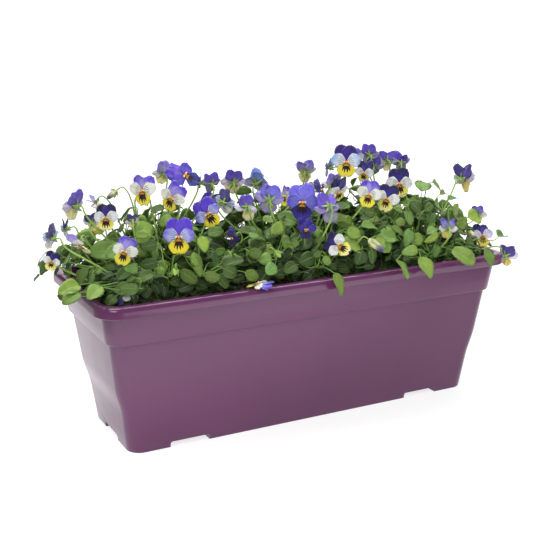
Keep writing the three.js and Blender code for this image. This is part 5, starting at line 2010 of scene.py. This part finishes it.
def add_bud(draft: Draft, florist: Florist, shoots: Shoots, number: int, place: tuple) -> None:
    """Adds a bud, a seed capsule or a bare calyx, with its stalk.

    Args:
        draft: The clump's green piece.
        florist: Models the calyx and the stalk.
        shoots: The clumps' shoots.
        number: The bud's number, for its random draws.
        place: Its row in BUDS.
    """
    x, y, z, turn, kind, size = place
    nod, roll = (-40.0, 0.0) if kind is not BudKind.STAR else (35.0, 20.0)
    holder = Flower(0, x, y, z, turn, nod, roll, 1.0, Kind.NAVY_CREAM)
    plant = florist.planting.nearest(x, y)
    top = holder.at(np.array([0.0, 0.0, -1.6]))
    corners = florist.stalk_path(plant, top, holder.axes[2])
    florist.stalk(draft, corners, shoots, plant, FIRST_BUD + number)
    if kind is BudKind.STAR:
        florist.calyx(draft, holder, 0.0, 11.0, 0.12, 0.16)
        OVARY.add(draft, holder, 1.0, GreenSkin.STEM, tone=0.9)
        return
    florist.calyx(draft, holder, 0.0, 7.0 + size, 0.75, 0.18)
    if kind is BudKind.CAPSULE:
        CAPSULE.add(draft, holder, size, GreenSkin.STEM, tone=0.95)
        return
    # The rolled petals of a bud are cream at the calyx and navy at the tip.
    body = replace(ROLLED, rows=tuple(
        row if level < 2 else (row[0] * size, row[1] * size, row[2] * size, row[3])
        for level, row in enumerate(ROLLED.rows)))
    body.add(draft, holder, size, GreenSkin.PETAL, heart=linear("#efe9b4"), margin=linear("#2a1f78"))


def add_fallen_petals(draft: Draft) -> None:
    """Adds the loose petals that lie on the leaves inside the rim's left end."""
    for number, (x, y, z, turn, nod, petal, colour) in enumerate(FALLEN_PETALS):
        holder = Flower(0, x, y, z, turn, nod, 40.0 * number, 0.62, Kind.NAVY_CREAM)
        front = holder.at(PETALS[petal].surface(FIRST_FALLEN_PETAL + number, 0.7))
        tint = linear(colour)
        add_sheet(draft, front, 0.35, GreenSkin.PETAL, heart=tint, margin=tint)


def build_plants(finishes: dict[str, Material], trough: Trough, studio: Studio) -> None:
    """Models the flowers and the green of all six clumps.

    Args:
        finishes: Every finish, by short name.
        trough: What they stand in, and whose walls they keep clear of.
        studio: Its camera sees the flowers, so that no small leaf hides one.
    """
    planting = Planting()
    shoots = Shoots(planting)
    shoots.grow()
    florist = Florist(planting)
    petals = [finishes[skin.name.lower()] for skin in FlowerSkin]
    greens = [Draft() for _ in planting.crowns]
    slot_of = {row["node"]: row["material_slot"] for row in frame["record"]["subparts"]}
    draw = 0
    for number in range(1, FLOWERS[-1].node + 1):
        draft = Draft()
        for flower in (flower for flower in FLOWERS if flower.node == number):
            florist.flower(draft, flower, draw)
            plant = planting.nearest(flower.x, flower.y)
            florist.support(greens[plant], flower, shoots, draw)
            draw += 1
        node = f"bloom_{number:02d}"
        place_piece(draft.piece(f"flower_{number:02d}", petals), slot_of[node], node)
    draft = Draft()
    florist.flower(draft, FALLEN, draw)
    place_piece(draft.piece("fallen_flower", petals), slot_of["fallen_bloom_1"], "fallen_bloom_1")

    add_fallen_petals(greens[0])
    for number, place in enumerate(BUDS):
        add_bud(greens[planting.nearest(place[0], place[1])], florist, shoots, number, place)

    foliage = Foliage(planting, shoots, trough, np.array(studio.camera_place) / MM)
    foliage.packed()
    foliage.fill([*FLOWERS, FALLEN])
    for leaf in foliage.leaves:
        foliage.add(greens[leaf.plant], leaf)
    for plant, draft in enumerate(greens):
        shoots.add(draft, plant)
        node = f"viola_plant_{plant + 1}"
        skins = [finishes["leaf"], finishes["stem"], finishes["upper"]]
        place_piece(draft.piece(f"viola_{plant + 1}", skins), slot_of[node], node)


def main() -> None:
    """Builds the object piece by piece, and the studio round it."""
    logging.basicConfig(level=logging.INFO, format="%(message)s")
    bpy.ops.object.select_all(action="DESELECT")
    studio = Studio()
    studio.build()
    finishes = make_finishes()
    trough = Trough()
    place_piece(trough.build(finishes["plastic"]), "plastic", "window_box")
    place_piece(Soil(trough).build(finishes["soil"]), "soil", "soil")
    build_plants(finishes, trough, studio)


if __name__ == "__main__":
    main()
